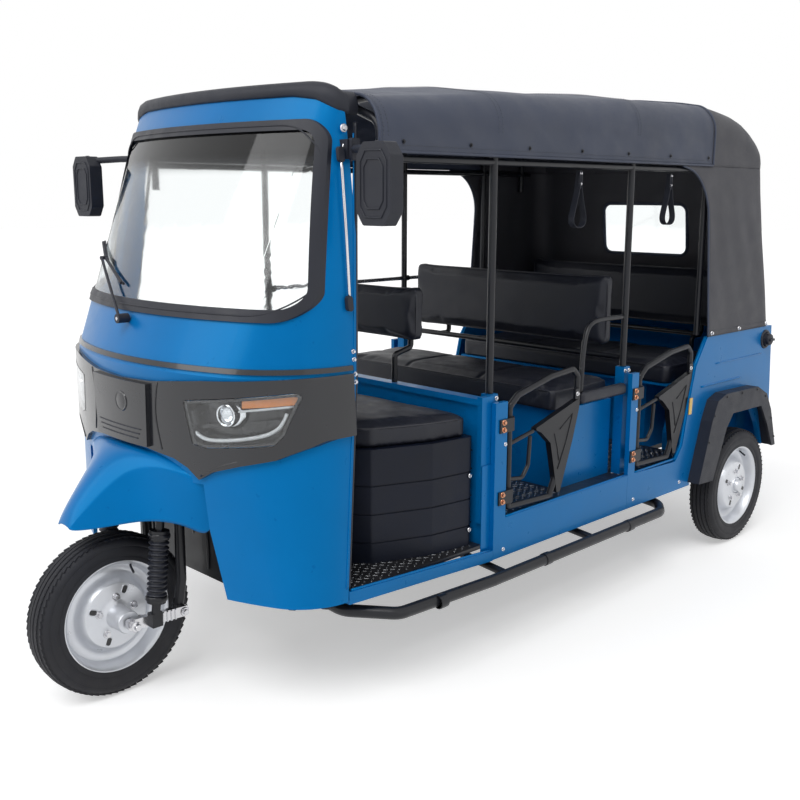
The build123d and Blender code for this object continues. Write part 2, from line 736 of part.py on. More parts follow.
def leaf_springs():
    parts = []
    for x in (-380, 380):
        low = AXLE_Z + AXLE_TUBE_R + SEAT_GAP
        pack = make_face([
            ThreePointArc((2300, 344), (WHEELBASE, low), (2900, 344)),
            Line((2900, 344), (2900, 356)),
            ThreePointArc((2900, 356), (WHEELBASE, low + 26), (2300, 356)),
            Line((2300, 356), (2300, 344)),
        ])
        spring = side_prism(pack, x - 25, x + 25)
        inner = x - 25 if x > 0 else x + 25
        for y in (2312, 2888):
            edge = RAIL_X + RAIL_W / 2
            span = sorted((inner, edge if x > 0 else -edge))
            spring += box(min(span[0], x - 20), max(span[1], x + 20), y - 12, y + 12, 350, 395)
        parts += solids_of(spring)
    return Compound(children=parts)


def rear_shocks():
    x, y = 455, 2560
    body = disc(20, 180, (x, y, 400), (0, 0, 1))
    body += disc(30, 150, (x, y, 470), (0, 0, 1))
    body += box(x - 16, x + 50, y - 16, y + 16, 545, 580)
    body += box(x - 14, x + 14, y - 12, WHEELBASE - 20, AXLE_Z + 12, 330)
    return both_sides(body - rear_axle())


def exhaust():
    pipe = rod([(-190, 700, 284), (-440, 760, 284), (-455, 1200, 288), (-455, 2180, 288)], 17, 60)
    pipe += disc(52, 480, (-455, 1720, 304), (0, 1, 0))
    return pipe - engine()


# ---------------------------------------------------------------- wheels

def rim(centre_x, centre_y, outward, hub_bore, hub_out, hub_in):
    """Pressed steel wheel turned about X: barrel, dish with slots, hub."""
    w = TYRE_W / 2 - 6
    barrel = ring(RIM_R, RIM_R - 9, 2 * w, (0, 0, 0), (1, 0, 0))
    barrel -= ring(RIM_R + 1, RIM_R - 4, 2 * w - 14, (0, 0, 0), (1, 0, 0))
    well = ring(RIM_R - 4, RIM_R - 9, 2 * w, (0, 0, 0), (1, 0, 0))
    barrel += well
    dish = ring(RIM_R - 5, 118, 5, (w - 26, 0, 0), (1, 0, 0))
    step = ring(124, 118, 22, (w - 18, 0, 0), (1, 0, 0))
    face = ring(124, hub_bore, 6, (w - 10, 0, 0), (1, 0, 0))
    for i in range(4):
        slot = Rot(90 * i + 22, 0, 0) * box(w - 30, w + 10, -8, 8, 84, 106)
        face -= slot
    for i in range(5):
        face += Rot(72 * i, 0, 0) * (Pos(w - 4, 0, 60) * Rot(0, 90, 0) * Cylinder(8, 14))
    hub = ring(36, hub_bore, hub_out + hub_in, ((hub_out - hub_in) / 2, 0, 0), (1, 0, 0))
    wheel = barrel + dish + step + face + hub
    if outward < 0:
        wheel = mirror(wheel, about=Plane.YZ)
    return Pos(centre_x, centre_y, TYRE_R) * wheel


def tyre(centre_x, centre_y):
    half = TYRE_W / 2
    bead = half - 8
    profile = make_face([
        Polyline((RIM_R + 0.2, -bead), (RIM_R + 0.2, bead)),
        ThreePointArc((RIM_R + 0.2, bead), (RIM_R + 40, half), (TYRE_R - 14, half - 14)),
        ThreePointArc((TYRE_R - 14, half - 14), (TYRE_R, 0), (TYRE_R - 14, -half + 14)),
        ThreePointArc((TYRE_R - 14, -half + 14), (RIM_R + 40, -half), (RIM_R + 0.2, -bead)),
    ])
    solid = revolve(Plane((0, 0, 0), x_dir=(0, 0, 1), z_dir=(0, -1, 0)) * profile, axis=Axis.X)
    return Pos(centre_x, centre_y, TYRE_R) * solid


FRONT_AXLE_R = 10
LINK_X = (114, 132)
PIVOT = (174, 240)
SHOCK_X = 150


def steering_fork():
    crown = box(-172, 172, 70, 212, 562, 588)
    centre, length = along_axis(570, 900)
    stem = disc(STEM_R, length, centre, AXIS_DIR)
    seat = disc(33, 18, (0, axis_y(HEAD_TUBE[0]) - 3, HEAD_TUBE[0] - 9.5), AXIS_DIR)
    centre, length = along_axis(HEAD_TUBE[1] + 14, HANDLEBAR_Z - 19.1)
    column = disc(15, length, centre, AXIS_DIR)
    nut_centre, nut_length = along_axis(HEAD_TUBE[1] + 13, HEAD_TUBE[1] + 33)
    nut = disc(30, nut_length, nut_centre, AXIS_DIR)
    fork = crown + stem + column + nut
    for x in (-95, 95):
        fork += rod([(x, 190, 570), (x, 190, 330), (x, PIVOT[0], PIVOT[1])], 16, 60)
        fork += disc(17, 37.4, (x, *PIVOT), (1, 0, 0))
    return fork


def front_links():
    parts = []
    for side in (-1, 1):
        face = outline([(-16, 234), (-16, 266), (190, 256), (190, 224)], 10)
        bar = side_prism(face, *LINK_X)
        parts.append(mirror_if(side, bar))
    axle = disc(FRONT_AXLE_R, 2 * LINK_X[1] + 34, (0, 0, TYRE_R), (1, 0, 0))
    return axle + parts[0] + parts[1]


def front_shocks():
    low = Vector(SHOCK_X, 64, 262)
    high = Vector(SHOCK_X - 6, 98, 559)
    run = (high - low).normalized()
    body = rod([low, high], 13)
    body += rod([low + run * 62, low + run * 235], 24)
    body += rod([low + run * 235, low + run * 262], 29)
    body += rod([low + run * 44, low + run * 62], 28)
    eye = box(LINK_X[1], SHOCK_X + 10, 48, 82, 232, 275)
    return both_sides(body + eye)


def handlebar():
    y = axis_y(HANDLEBAR_Z)
    z = HANDLEBAR_Z
    bar = rod([(-310, y + 85, z), (-180, y + 60, z + 8), (-90, y, z), (90, y, z), (180, y + 60, z + 8),
               (310, y + 85, z)], 11, 35)
    for side in (-1, 1):
        grip = rod([(side * 305, y + 84, z), (side * 195, y + 63, z + 7)], 16)
        bar += grip
    bar += disc(24, 40, (0, y, z), AXIS_DIR)
    return bar


HUB_X = 20


def wheel_parts():
    half = TRACK / 2
    fit = FRONT_AXLE_R + RUNNING_GAP
    rear_fit = 15 + RUNNING_GAP
    return {
        "front_rim": rim(0, 0, 1, fit, 108, 108),
        "front_tyre": tyre(0, 0),
        "rear_left_rim": rim(half, WHEELBASE, 1, rear_fit, 44, 50),
        "rear_left_tyre": tyre(half, WHEELBASE),
        "rear_right_rim": rim(-half, WHEELBASE, -1, rear_fit, 44, 50),
        "rear_right_tyre": tyre(-half, WHEELBASE),
    }


def build():
    nodes = {
        "chassis_frame": chassis_frame(),
        "floor_pan": floor_pan(),
        "front_cowl": front_cowl(),
        "front_fascia": front_fascia(),
        "headlamps": joined(headlamp(1), headlamp(-1)),
        "headlamp_lenses": joined(headlamp_lens(1), headlamp_lens(-1)),
        "windscreen_glass": windscreen_glass(),
        "windscreen_gasket": windscreen_gasket(),
        "roof_visor": roof_visor(),
        "front_fender": front_fender(),
        "wiper": wiper(),
        "mirrors": mirrors(),
        "firewall": firewall(),
        "dashboard": dashboard(),
        "bulkhead": bulkhead(),
        "side_panels": joined(side_panel(1), side_panel(-1), door_posts()),
        "rear_quarters": joined(rear_quarter(1), rear_quarter(-1)),
        "arch_flares": arch_flares(),
        "wheel_wells": wheel_wells(),
        "rear_panel": rear_panel(),
        "tail_lamps": tail_lamps(),
        "rear_bumper": rear_bumper(),
        "canopy_top": canopy_top(),
        "canopy_back": canopy_back(),
        "rear_window": rear_window(),
        "roof_frame": roof_frame(),
        "guard_rail_right": guard_rail_right(),
        "driver_seat_base": driver_seat_base(),
        "driver_cushion": driver_cushion(),
        "driver_backrest": driver_backrest(),
        "middle_seat_base": middle_seat_base(),
        "middle_cushion": middle_cushion(),
        "middle_backrest": middle_backrest(),
        "rear_seat_base": rear_seat_base(),
        "rear_cushion": rear_cushion(),
        "rear_backrest": rear_backrest(),
        "seat_frames": seat_frames(),
        "middle_gate": gate(B_POST_Y),
        "rear_gate": gate(C_POST_Y),
        "gate_hinges": gate_hinges(),
        "arm_rest": arm_rest(),
        "grab_straps": grab_straps(),
        "side_step": side_step(),
        "fuel_filler": fuel_filler(),
        "engine": engine(),
        "drive_shaft": drive_shaft(),
        "rear_axle": rear_axle(),
        "rear_suspension": joined(leaf_springs(), rear_shocks()),
        "exhaust": exhaust(),
        "steering_fork": steering_fork(),
        "front_links": front_links(),
        "front_shocks": front_shocks(),
        "handlebar": handlebar(),
    }
    nodes.update(wheel_parts())
    return nodes


os.makedirs("parts", exist_ok=True)
middle_y = (FRONT_END + REAR_END) / 2
for name, shape in build().items():
    export_step(joined(Pos(0, -middle_y, 0) * shape), f"parts/{name}.step")
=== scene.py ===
import bpy
import bmesh
import json
import math
import numpy as np
from mathutils import Matrix, Vector
from mathutils.bvhtree import BVHTree


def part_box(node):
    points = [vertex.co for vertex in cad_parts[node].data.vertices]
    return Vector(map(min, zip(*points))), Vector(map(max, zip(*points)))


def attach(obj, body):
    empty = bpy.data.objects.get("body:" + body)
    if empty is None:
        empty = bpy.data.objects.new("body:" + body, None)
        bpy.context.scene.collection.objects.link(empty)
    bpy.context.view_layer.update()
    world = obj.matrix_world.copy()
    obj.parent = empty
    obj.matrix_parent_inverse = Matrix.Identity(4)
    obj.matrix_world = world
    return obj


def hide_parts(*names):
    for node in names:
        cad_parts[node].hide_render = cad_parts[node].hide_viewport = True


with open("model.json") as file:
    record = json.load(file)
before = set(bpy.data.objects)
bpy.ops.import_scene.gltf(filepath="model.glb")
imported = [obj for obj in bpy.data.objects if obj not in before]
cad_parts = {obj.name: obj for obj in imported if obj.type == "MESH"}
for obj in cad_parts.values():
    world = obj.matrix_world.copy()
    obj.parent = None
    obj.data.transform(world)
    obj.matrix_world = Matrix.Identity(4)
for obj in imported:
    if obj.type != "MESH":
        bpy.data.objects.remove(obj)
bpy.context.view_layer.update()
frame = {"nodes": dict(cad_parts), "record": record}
NODES = frame["nodes"]

AXLE_AHEAD = 1385          # mm from the row's origin forwards to the front axle
BODY = "vehicle_body"
WHEELBASE = 2630
WHEEL_Z = 250                # height of the wheel centres
HALF_TRACK = 620


def at(x, y, z):
    """A place given in millimetres: to the left, behind the front axle, above the floor."""
    return Vector((x / 1000, (y - AXLE_AHEAD) / 1000, z / 1000))


# ------------------------------------------------------------------ node helpers

def add(tree, kind, inputs=None, **settings):
    made = tree.nodes.new(kind)
    for key, value in settings.items():
        setattr(made, key, value)
    for key, value in (inputs or {}).items():
        if isinstance(value, bpy.types.NodeSocket):
            tree.links.new(value, made.inputs[key])
        else:
            made.inputs[key].default_value = value
    return made


def new_tree(name, kind, inputs, outputs):
    tree = bpy.data.node_groups.new(name, kind)
    for label, socket, value in inputs:
        made = tree.interface.new_socket(label, in_out="INPUT", socket_type=socket)
        if value is not None:
            made.default_value = value
    for label, socket in outputs:
        tree.interface.new_socket(label, in_out="OUTPUT", socket_type=socket)
    return tree, tree.nodes.new("NodeGroupInput").outputs, tree.nodes.new("NodeGroupOutput").inputs


VECTOR, FLOAT, COLOUR = "NodeSocketVector", "NodeSocketFloat", "NodeSocketColor"
SHADER = "ShaderNodeTree"


def maths(tree, operation, a, b=0.0, c=0.0, clamp=False):
    return add(tree, "ShaderNodeMath", {0: a, 1: b, 2: c}, operation=operation, use_clamp=clamp).outputs[0]


# ------------------------------------------------------------------ shared surface effects

def make_mottle():
    """Slow unevenness: a value between Low and High."""
    tree, given, out = new_tree("mottle", SHADER, [("Vector", VECTOR, None), ("Scale", FLOAT, 6),
            ("Low", FLOAT, 0),
                                                   ("High", FLOAT, 1)], [("Value", FLOAT)])
    noise = add(tree, "ShaderNodeTexNoise", {"Vector": given["Vector"], "Scale": given["Scale"],
            "Detail": 5, "Roughness": 0.6})
    mapped = add(tree, "ShaderNodeMapRange", {"Value": noise.outputs["Fac"], "From Min": 0.3, "From Max": 0.7,
                                              "To Min": given["Low"], "To Max": given["High"]})
    tree.links.new(mapped.outputs[0], out["Value"])
    return tree


def make_grain():
    """Moulded or leather grain as a height."""
    tree, given, out = new_tree("grain", SHADER, [("Vector", VECTOR, None), ("Scale", FLOAT, 600),
            ("Coarse", FLOAT, 0.4)],
                                [("Height", FLOAT)])
    cells = add(tree, "ShaderNodeTexVoronoi", {"Vector": given["Vector"], "Scale": given["Scale"]},
            feature="SMOOTH_F1")
    wide = add(tree, "ShaderNodeTexNoise", {"Vector": given["Vector"], "Scale": maths(tree, "MULTIPLY",
            given["Scale"], 0.22),
                                            "Detail": 3})
    total = maths(tree, "MULTIPLY_ADD", wide.outputs["Fac"], given["Coarse"], cells.outputs["Distance"])
    tree.links.new(total, out["Height"])
    return tree


def make_weave():
    """Plain weave as a height, on any face direction."""
    tree, given, out = new_tree("weave", SHADER, [("Vector", VECTOR, None), ("Threads", FLOAT, 700)],
            [("Height", FLOAT)])
    parts = add(tree, "ShaderNodeSeparateXYZ", {0: given["Vector"]})
    rate = maths(tree, "MULTIPLY", given["Threads"], 2 * math.pi)
    waves = [maths(tree, "SINE", maths(tree, "MULTIPLY", parts.outputs[i], rate)) for i in range(3)]
    lift = [maths(tree, "MULTIPLY", waves[0], waves[1]), maths(tree, "MULTIPLY", waves[1], waves[2]),
            maths(tree, "MULTIPLY", waves[0], waves[2])]
    total = maths(tree, "ADD", maths(tree, "ADD", lift[0], lift[1]), lift[2])
    tree.links.new(maths(tree, "MULTIPLY_ADD", total, 0.3, 0.5), out["Height"])
    return tree


def make_dust():
    """Road dust: thick near the floor, broken up as it rises."""
    tree, given, out = new_tree("road_dust", SHADER, [("Vector", VECTOR, None), ("Top", FLOAT, 0.5),
            ("Amount", FLOAT, 0.5)],
                                [("Mask", FLOAT)])
    height = add(tree, "ShaderNodeSeparateXYZ", {0: given["Vector"]}).outputs["Z"]
    fade = maths(tree, "SUBTRACT", 1.0, maths(tree, "DIVIDE", height, given["Top"]), clamp=True)
    noise = add(tree, "ShaderNodeTexNoise", {"Vector": given["Vector"], "Scale": 14, "Detail": 8,
            "Roughness": 0.7})
    patch = maths(tree, "MULTIPLY", fade, noise.outputs["Fac"])
    tree.links.new(maths(tree, "MULTIPLY", patch, given["Amount"], clamp=True), out["Mask"])
    return tree


MOTTLE, GRAIN, WEAVE, DUST = make_mottle(), make_grain(), make_weave(), make_dust()
DUST_COLOUR = (0.20, 0.17, 0.14, 1)


def use(tree, which, inputs):
    made = tree.nodes.new("ShaderNodeGroup")
    made.node_tree = which
    for key, value in inputs.items():
        if isinstance(value, bpy.types.NodeSocket):
            tree.links.new(value, made.inputs[key])
        else:
            made.inputs[key].default_value = value
    return made.outputs[0]


def finish(name, colour, shade=0.12, rough=0.5, rough_spread=0.08, metal=0.0, coat=0.0, coat_rough=0.05,
           grain=None, weave=None, bump=0.1, dust=0.0, dust_top=0.6, mottle=5.0, sheen=0.0,
           specular=0.5, extra=None):
    """A solid finish: colour varies by `shade` and roughness by `rough_spread`, with fine relief."""
    material = bpy.data.materials.new(name)
    material.use_nodes = True
    material.diffuse_color = (*colour, 1)
    tree = material.node_tree
    shader = tree.nodes["Principled BSDF"]
    place = add(tree, "ShaderNodeTexCoord").outputs["Object"]
    value = use(tree, MOTTLE, {"Vector": place, "Scale": mottle, "Low": 0.0, "High": 1.0})
    dark = tuple(c * (1 - shade) for c in colour) + (1,)
    pale = tuple(min(1, c * (1 + shade)) for c in colour) + (1,)
    blend = add(tree, "ShaderNodeMix", {0: value, 6: dark, 7: pale}, data_type="RGBA")
    tint = blend.outputs[2]
    if extra:
        tint = extra(tree, place, tint)
    roughness = use(tree, MOTTLE, {"Vector": place, "Scale": mottle * 4, "Low": rough - rough_spread,
            "High": rough + rough_spread})
    if dust:
        mask = use(tree, DUST, {"Vector": place, "Top": dust_top, "Amount": dust})
        dusty = add(tree, "ShaderNodeMix", {0: mask, 6: tint, 7: DUST_COLOUR}, data_type="RGBA")
        tint = dusty.outputs[2]
        roughness = maths(tree, "MULTIPLY_ADD", mask, 0.5, roughness, clamp=True)
    tree.links.new(tint, shader.inputs["Base Color"])
    tree.links.new(roughness, shader.inputs["Roughness"])
    shader.inputs["Metallic"].default_value = metal
    shader.inputs["Coat Weight"].default_value = coat
    shader.inputs["Coat Roughness"].default_value = coat_rough
    shader.inputs["Specular IOR Level"].default_value = specular
    if sheen:
        shader.inputs["Sheen Weight"].default_value = sheen
    height = None
    if grain:
        height = use(tree, GRAIN, {"Vector": place, "Scale": grain, "Coarse": 0.5})
    if weave:
        height = use(tree, WEAVE, {"Vector": place, "Threads": weave})
    if height is not None:
        relief = add(tree, "ShaderNodeBump", {"Height": height, "Strength": bump, "Distance": 0.001})
        tree.links.new(relief.outputs[0], shader.inputs["Normal"])
    return material


def clear(name, colour, rough=0.03, extra=None, ior=1.45):
    material = bpy.data.materials.new(name)
    material.use_nodes = True
    tree = material.node_tree
    shader = tree.nodes["Principled BSDF"]
    shader.inputs["Base Color"].default_value = (*colour, 1)
    shader.inputs["Transmission Weight"].default_value = 1.0
    shader.inputs["IOR"].default_value = ior
    place = add(tree, "ShaderNodeTexCoord").outputs["Object"]
    rub = use(tree, MOTTLE, {"Vector": place, "Scale": 9, "Low": rough, "High": rough * 2})
    tree.links.new(rub, shader.inputs["Roughness"])
    if extra:
        tree.links.new(extra(tree, place, colour), shader.inputs["Base Color"])
    return material


def sun_band(tree, place, colour):
    """The windscreen's smoked band along its top."""
    height = add(tree, "ShaderNodeSeparateXYZ", {0: place}).outputs["Z"]
    fade = add(tree, "ShaderNodeMapRange", {"Value": height, "From Min": 1.535, "From Max": 1.60},
            interpolation_type="SMOOTHSTEP")
    mixed = add(tree, "ShaderNodeMix", {0: fade.outputs[0], 6: (*colour, 1), 7: (0.03, 0.035, 0.04, 1)},
            data_type="RGBA")
    return mixed.outputs[2]


CURTAIN_CLOTH = finish("curtain_cloth", (0.042, 0.042, 0.052), shade=0.12, rough=0.6, weave=420, bump=0.25,
        sheen=0.05, mottle=3)

def flake(material, colour):
    material.node_tree.nodes["Principled BSDF"].inputs["Specular Tint"].default_value = (*colour, 1)
    return material


FINISH = {
    "body_paint": flake(finish("azure_paint", (0.0004, 0.145, 0.43), shade=0.05, rough=0.30,
            rough_spread=0.03, coat=0.04, specular=0.7, grain=900, bump=0.01), (0.03, 0.55, 1.0)),
    "dark_paint": finish("black_frame_paint", (0.008, 0.009, 0.013), shade=0.2, rough=0.36, coat=0.15,
            specular=0.3, dust=0.04, dust_top=0.5,
                         grain=500, bump=0.08),
    "navy_lining": finish("moulded_seat_box", (0.004, 0.0065, 0.016), shade=0.2, rough=0.42, grain=700,
            bump=0.25, specular=0.25),
    "gloss_black": finish("gloss_black_moulding", (0.009, 0.010, 0.014), shade=0.15, rough=0.24,
            rough_spread=0.05, coat=0.5, specular=0.4, grain=900, bump=0.02),
    "grey_plastic": finish("grained_grey_plastic", (0.016, 0.018, 0.027), shade=0.15, rough=0.5,
            specular=0.35, grain=900, bump=0.3, dust=0.03),
    "canopy_cloth": finish("canopy_cloth", (0.030, 0.040, 0.072), shade=0.12, rough=0.55, weave=420,
            bump=0.25, sheen=0.08, mottle=3),
    "seat_vinyl": finish("seat_leathercloth", (0.012, 0.014, 0.023), shade=0.2, rough=0.45, grain=520,
            bump=0.3, specular=0.4),
    "red_lens": finish("red_lamp_lens", (0.35, 0.008, 0.008), shade=0.1, rough=0.15, coat=1.0, grain=120,
            bump=0.4),
    "floor_plate": finish("chequer_plate", (0.012, 0.012, 0.014), shade=0.3, rough=0.42, coat=0.2,
            grain=300, bump=0.2),
    "bright_steel": finish("bright_steel", (0.62, 0.62, 0.64), shade=0.08, rough=0.22, metal=1.0, grain=300,
            bump=0.03),
    "wheel_silver": finish("wheel_silver", (0.70, 0.72, 0.76), shade=0.1, rough=0.34, metal=0.5, coat=0.3,
            dust=0.06, dust_top=0.5, grain=600, bump=0.05),
    "tyre": finish("tyre_rubber", (0.012, 0.013, 0.018), shade=0.25, rough=0.62, specular=0.35, dust=0.08,
            dust_top=0.45, grain=350, bump=0.3),
    "cast_iron": finish("cast_iron", (0.06, 0.06, 0.062), shade=0.3, rough=0.6, metal=0.6, grain=200,
            bump=0.5, dust=0.5),
    "seal_rubber": finish("seal_rubber", (0.017, 0.019, 0.028), shade=0.12, rough=0.42, specular=0.35,
            grain=600, bump=0.08),
    "glass": clear("screen_glass", (0.95, 0.985, 0.985), extra=sun_band),
    "lens": clear("lamp_lens", (0.95, 0.97, 0.98)),
}
SIDES = ((1, "left"), (-1, "right"))


def of(slot):
    """A slot's finish and its name, for the calls that take both."""
    return FINISH[slot], slot


AMBER = finish("amber_lens", (0.75, 0.22, 0.01), shade=0.15, rough=0.2, coat=1.0, grain=160, bump=0.4)
GUIDE = finish("light_guide", (0.62, 0.64, 0.66), shade=0.08, rough=0.25, coat=0.6)
PIPING = finish("seat_piping", (0.016, 0.017, 0.026), shade=0.1, rough=0.4)
THREAD = finish("sewing_thread", (0.10, 0.11, 0.13), shade=0.1, rough=0.7, weave=1500, bump=0.3)
CHROME = finish("chrome", (0.75, 0.76, 0.78), shade=0.04, rough=0.08, metal=1.0)
YELLOW = finish("yellow_reflector", (0.75, 0.45, 0.02), shade=0.1, rough=0.2, coat=1.0, grain=200, bump=0.5)

for row in frame["record"]["subparts"]:
    mesh = NODES[row["node"]].data
    mesh.materials.clear()
    mesh.materials.append(FINISH[row["material_slot"]])


# ------------------------------------------------------------------ mesh helpers

def make_object(name, mesh, material, slot, body=BODY, smooth=True):
    made = bpy.data.objects.new(name, mesh)
    bpy.context.scene.collection.objects.link(made)
    if material:
        mesh.materials.clear()
        mesh.materials.append(material)
    if smooth:
        mesh.shade_smooth()
    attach(made, body)
    return made


def mesh_of(name, points, faces):
    mesh = bpy.data.meshes.new(name)
    mesh.from_pydata([tuple(p) for p in points], [], faces)
    mesh.update()
    return mesh


def outward(mesh):
    work = bmesh.new()
    work.from_mesh(mesh)
    bmesh.ops.remove_doubles(work, verts=work.verts, dist=1e-5)
    bmesh.ops.recalc_face_normals(work, faces=work.faces)
    work.to_mesh(mesh)
    work.free()
    return mesh


def sharpen(mesh, degrees=35):
    mesh.set_sharp_from_angle(angle=math.radians(degrees))
    return mesh


def revolve(name, profile, centre, axis, steps=64):
    """Turn a profile of (radius, distance along the axis) in millimetres."""
    axis = Vector(axis).normalized()
    side = axis.orthogonal().normalized()
    other = axis.cross(side)
    points, faces = [], []
    for i in range(steps):
        turn = 2 * math.pi * i / steps
        direction = side * math.cos(turn) + other * math.sin(turn)
        for radius, along in profile:
            points.append(centre + (direction * radius + axis * along) / 1000)
    rows = len(profile)
    for i in range(steps):
        j = (i + 1) % steps
        for k in range(rows - 1):
            faces.append((i * rows + k, j * rows + k, j * rows + k + 1, i * rows + k + 1))
    return sharpen(outward(mesh_of(name, points, faces)))


def tube_mesh(name, points, radius, closed=False, sides=4, smooth_path=True):
    """A round bar along points, in metres."""
    curve = bpy.data.curves.new(name, "CURVE")
    curve.dimensions = "3D"
    curve.bevel_depth = radius / 1000
    curve.bevel_resolution = sides
    curve.use_fill_caps = True
    spline = curve.splines.new("POLY" if not smooth_path else "NURBS")
    spline.points.add(len(points) - 1)
    for spot, p in zip(spline.points, points):
        spot.co = (*p, 1)
    if smooth_path:
        spline.use_endpoint_u = not closed
        spline.order_u = 3
        spline.resolution_u = 6
    spline.use_cyclic_u = closed
    temp = bpy.data.objects.new(name, curve)
    bpy.context.scene.collection.objects.link(temp)
    dg = bpy.context.evaluated_depsgraph_get()
    mesh = bpy.data.meshes.new_from_object(temp.evaluated_get(dg))
    bpy.data.objects.remove(temp)
    return outward(mesh)


def grown(name, points, edges, tree, settings, attributes=None):
    """Run a geometry tree over points (and edges) and keep what it makes as a plain mesh."""
    base = bpy.data.meshes.new(name)
    base.from_pydata([tuple(p) for p in points], edges, [])
    for label, values in (attributes or {}).items():
        data = base.attributes.new(label, "FLOAT_VECTOR", "POINT")
        data.data.foreach_set("vector", np.array(values, np.float32).ravel())
    temp = bpy.data.objects.new(name, base)
    bpy.context.scene.collection.objects.link(temp)
    modifier = temp.modifiers.new("grown", "NODES")
    modifier.node_group = tree
    for item in tree.interface.items_tree:
        if item.item_type == "SOCKET" and item.in_out == "INPUT" and item.name in settings:
            modifier[item.identifier] = settings[item.name]
    dg = bpy.context.evaluated_depsgraph_get()
    mesh = bpy.data.meshes.new_from_object(temp.evaluated_get(dg))
    bpy.data.objects.remove(temp)
    return mesh


GEOMETRY, INTEGER, MATERIAL = "NodeSocketGeometry", "NodeSocketInt", "NodeSocketMaterial"
GEO_TREE = "GeometryNodeTree"


def tree_end(tree, geometry, given, out):
    real = add(tree, "GeometryNodeRealizeInstances", {"Geometry": geometry})
    painted = add(tree, "GeometryNodeSetMaterial",
            {"Geometry": real.outputs[0], "Material": given["Material"]})
    tree.links.new(painted.outputs[0], out["Geometry"])


def make_fasteners():
    """A hexagon head on a washer at each point, standing along the point's facing."""
    tree, given, out = new_tree("fasteners", GEO_TREE, [
        ("Geometry", GEOMETRY, None), ("Head Radius", FLOAT, 0.007), ("Head Height", FLOAT, 0.005),
        ("Washer Radius", FLOAT, 0.011), ("Sides", INTEGER, 6), ("Material", MATERIAL,
                None)], [("Geometry", GEOMETRY)])
    facing = add(tree, "GeometryNodeInputNamedAttribute", {"Name": "facing"},
            data_type="FLOAT_VECTOR").outputs["Attribute"]
    turn = add(tree, "FunctionNodeAlignRotationToVector", {"Vector": facing}, axis="Z")
    head = add(tree, "GeometryNodeMeshCone", {"Vertices": given["Sides"], "Side Segments": 1,
            "Radius Bottom": given["Head Radius"],
               "Radius Top": maths(tree, "MULTIPLY", given["Head Radius"],
                       0.82), "Depth": given["Head Height"]})
    washer = add(tree, "GeometryNodeMeshCone", {"Vertices": 20, "Radius Bottom": given["Washer Radius"],
                 "Radius Top": maths(tree, "MULTIPLY", given["Washer Radius"], 0.92),
                 "Depth": maths(tree, "MULTIPLY", given["Head Height"], 0.3)})
    lift = add(tree, "ShaderNodeCombineXYZ", {"Z": maths(tree, "MULTIPLY", given["Head Height"], 0.2)})
    raised = add(tree, "GeometryNodeTransform",
            {"Geometry": head.outputs["Mesh"], "Translation": lift.outputs[0]})
    both = add(tree, "GeometryNodeJoinGeometry")
    tree.links.new(raised.outputs[0], both.inputs[0])
    tree.links.new(washer.outputs["Mesh"], both.inputs[0])
    placed = add(tree, "GeometryNodeInstanceOnPoints",
            {"Points": given["Geometry"], "Instance": both.outputs[0],
                 "Rotation": turn.outputs[0]})
    tree_end(tree, placed.outputs[0], given, out)
    return tree


def make_stitches():
    """Thread stitches at even spacing along the given edges."""
    tree, given, out = new_tree("stitches", GEO_TREE, [
        ("Geometry", GEOMETRY, None), ("Spacing", FLOAT, 0.008), ("Length", FLOAT,
                0.0055), ("Thread Radius", FLOAT, 0.0006),
        ("Material", MATERIAL, None)], [("Geometry", GEOMETRY)])
    line = add(tree, "GeometryNodeMeshToCurve", {"Mesh": given["Geometry"]})
    even = add(tree, "GeometryNodeResampleCurve", {"Curve": line.outputs[0], "Length": given["Spacing"]},
            mode="LENGTH")
    along = add(tree, "GeometryNodeInputTangent")
    turn = add(tree, "FunctionNodeAlignRotationToVector", {"Vector": along.outputs[0]}, axis="Z")
    thread = add(tree, "GeometryNodeMeshCylinder", {"Vertices": 6, "Radius": given["Thread Radius"],
            "Depth": given["Length"]})
    placed = add(tree, "GeometryNodeInstanceOnPoints",
            {"Points": even.outputs[0], "Instance": thread.outputs["Mesh"],
                 "Rotation": turn.outputs[0]})
    tree_end(tree, placed.outputs[0], given, out)
    return tree


def make_bellows():
    """A ribbed boot along the given edge."""
    tree, given, out = new_tree("bellows", GEO_TREE, [
        ("Geometry", GEOMETRY, None), ("Radius", FLOAT, 0.026), ("Rib Depth", FLOAT, 0.004), ("Ribs", FLOAT,
                9),
        ("Material", MATERIAL, None)], [("Geometry", GEOMETRY)])
    line = add(tree, "GeometryNodeMeshToCurve", {"Mesh": given["Geometry"]})
    fine = add(tree, "GeometryNodeResampleCurve", {"Curve": line.outputs[0], "Count": 160}, mode="COUNT")
    along = add(tree, "GeometryNodeSplineParameter").outputs["Factor"]
    wave = maths(tree, "SINE", maths(tree, "MULTIPLY", maths(tree, "MULTIPLY", along, given["Ribs"]),
            2 * math.pi))
    size = maths(tree, "MULTIPLY_ADD", wave, given["Rib Depth"], given["Radius"])
    circle = add(tree, "GeometryNodeCurvePrimitiveCircle", {"Resolution": 40, "Radius": 1.0})
    shaped = add(tree, "GeometryNodeCurveToMesh",
            {"Curve": fine.outputs[0], "Profile Curve": circle.outputs[0], "Fill Caps": True})
    if "Scale" in shaped.inputs:
        tree.links.new(size, shaped.inputs["Scale"])
    else:
        sized = add(tree, "GeometryNodeSetCurveRadius", {"Curve": fine.outputs[0], "Radius": size})
        tree.links.new(sized.outputs[0], shaped.inputs["Curve"])
    tree_end(tree, shaped.outputs[0], given, out)
    return tree


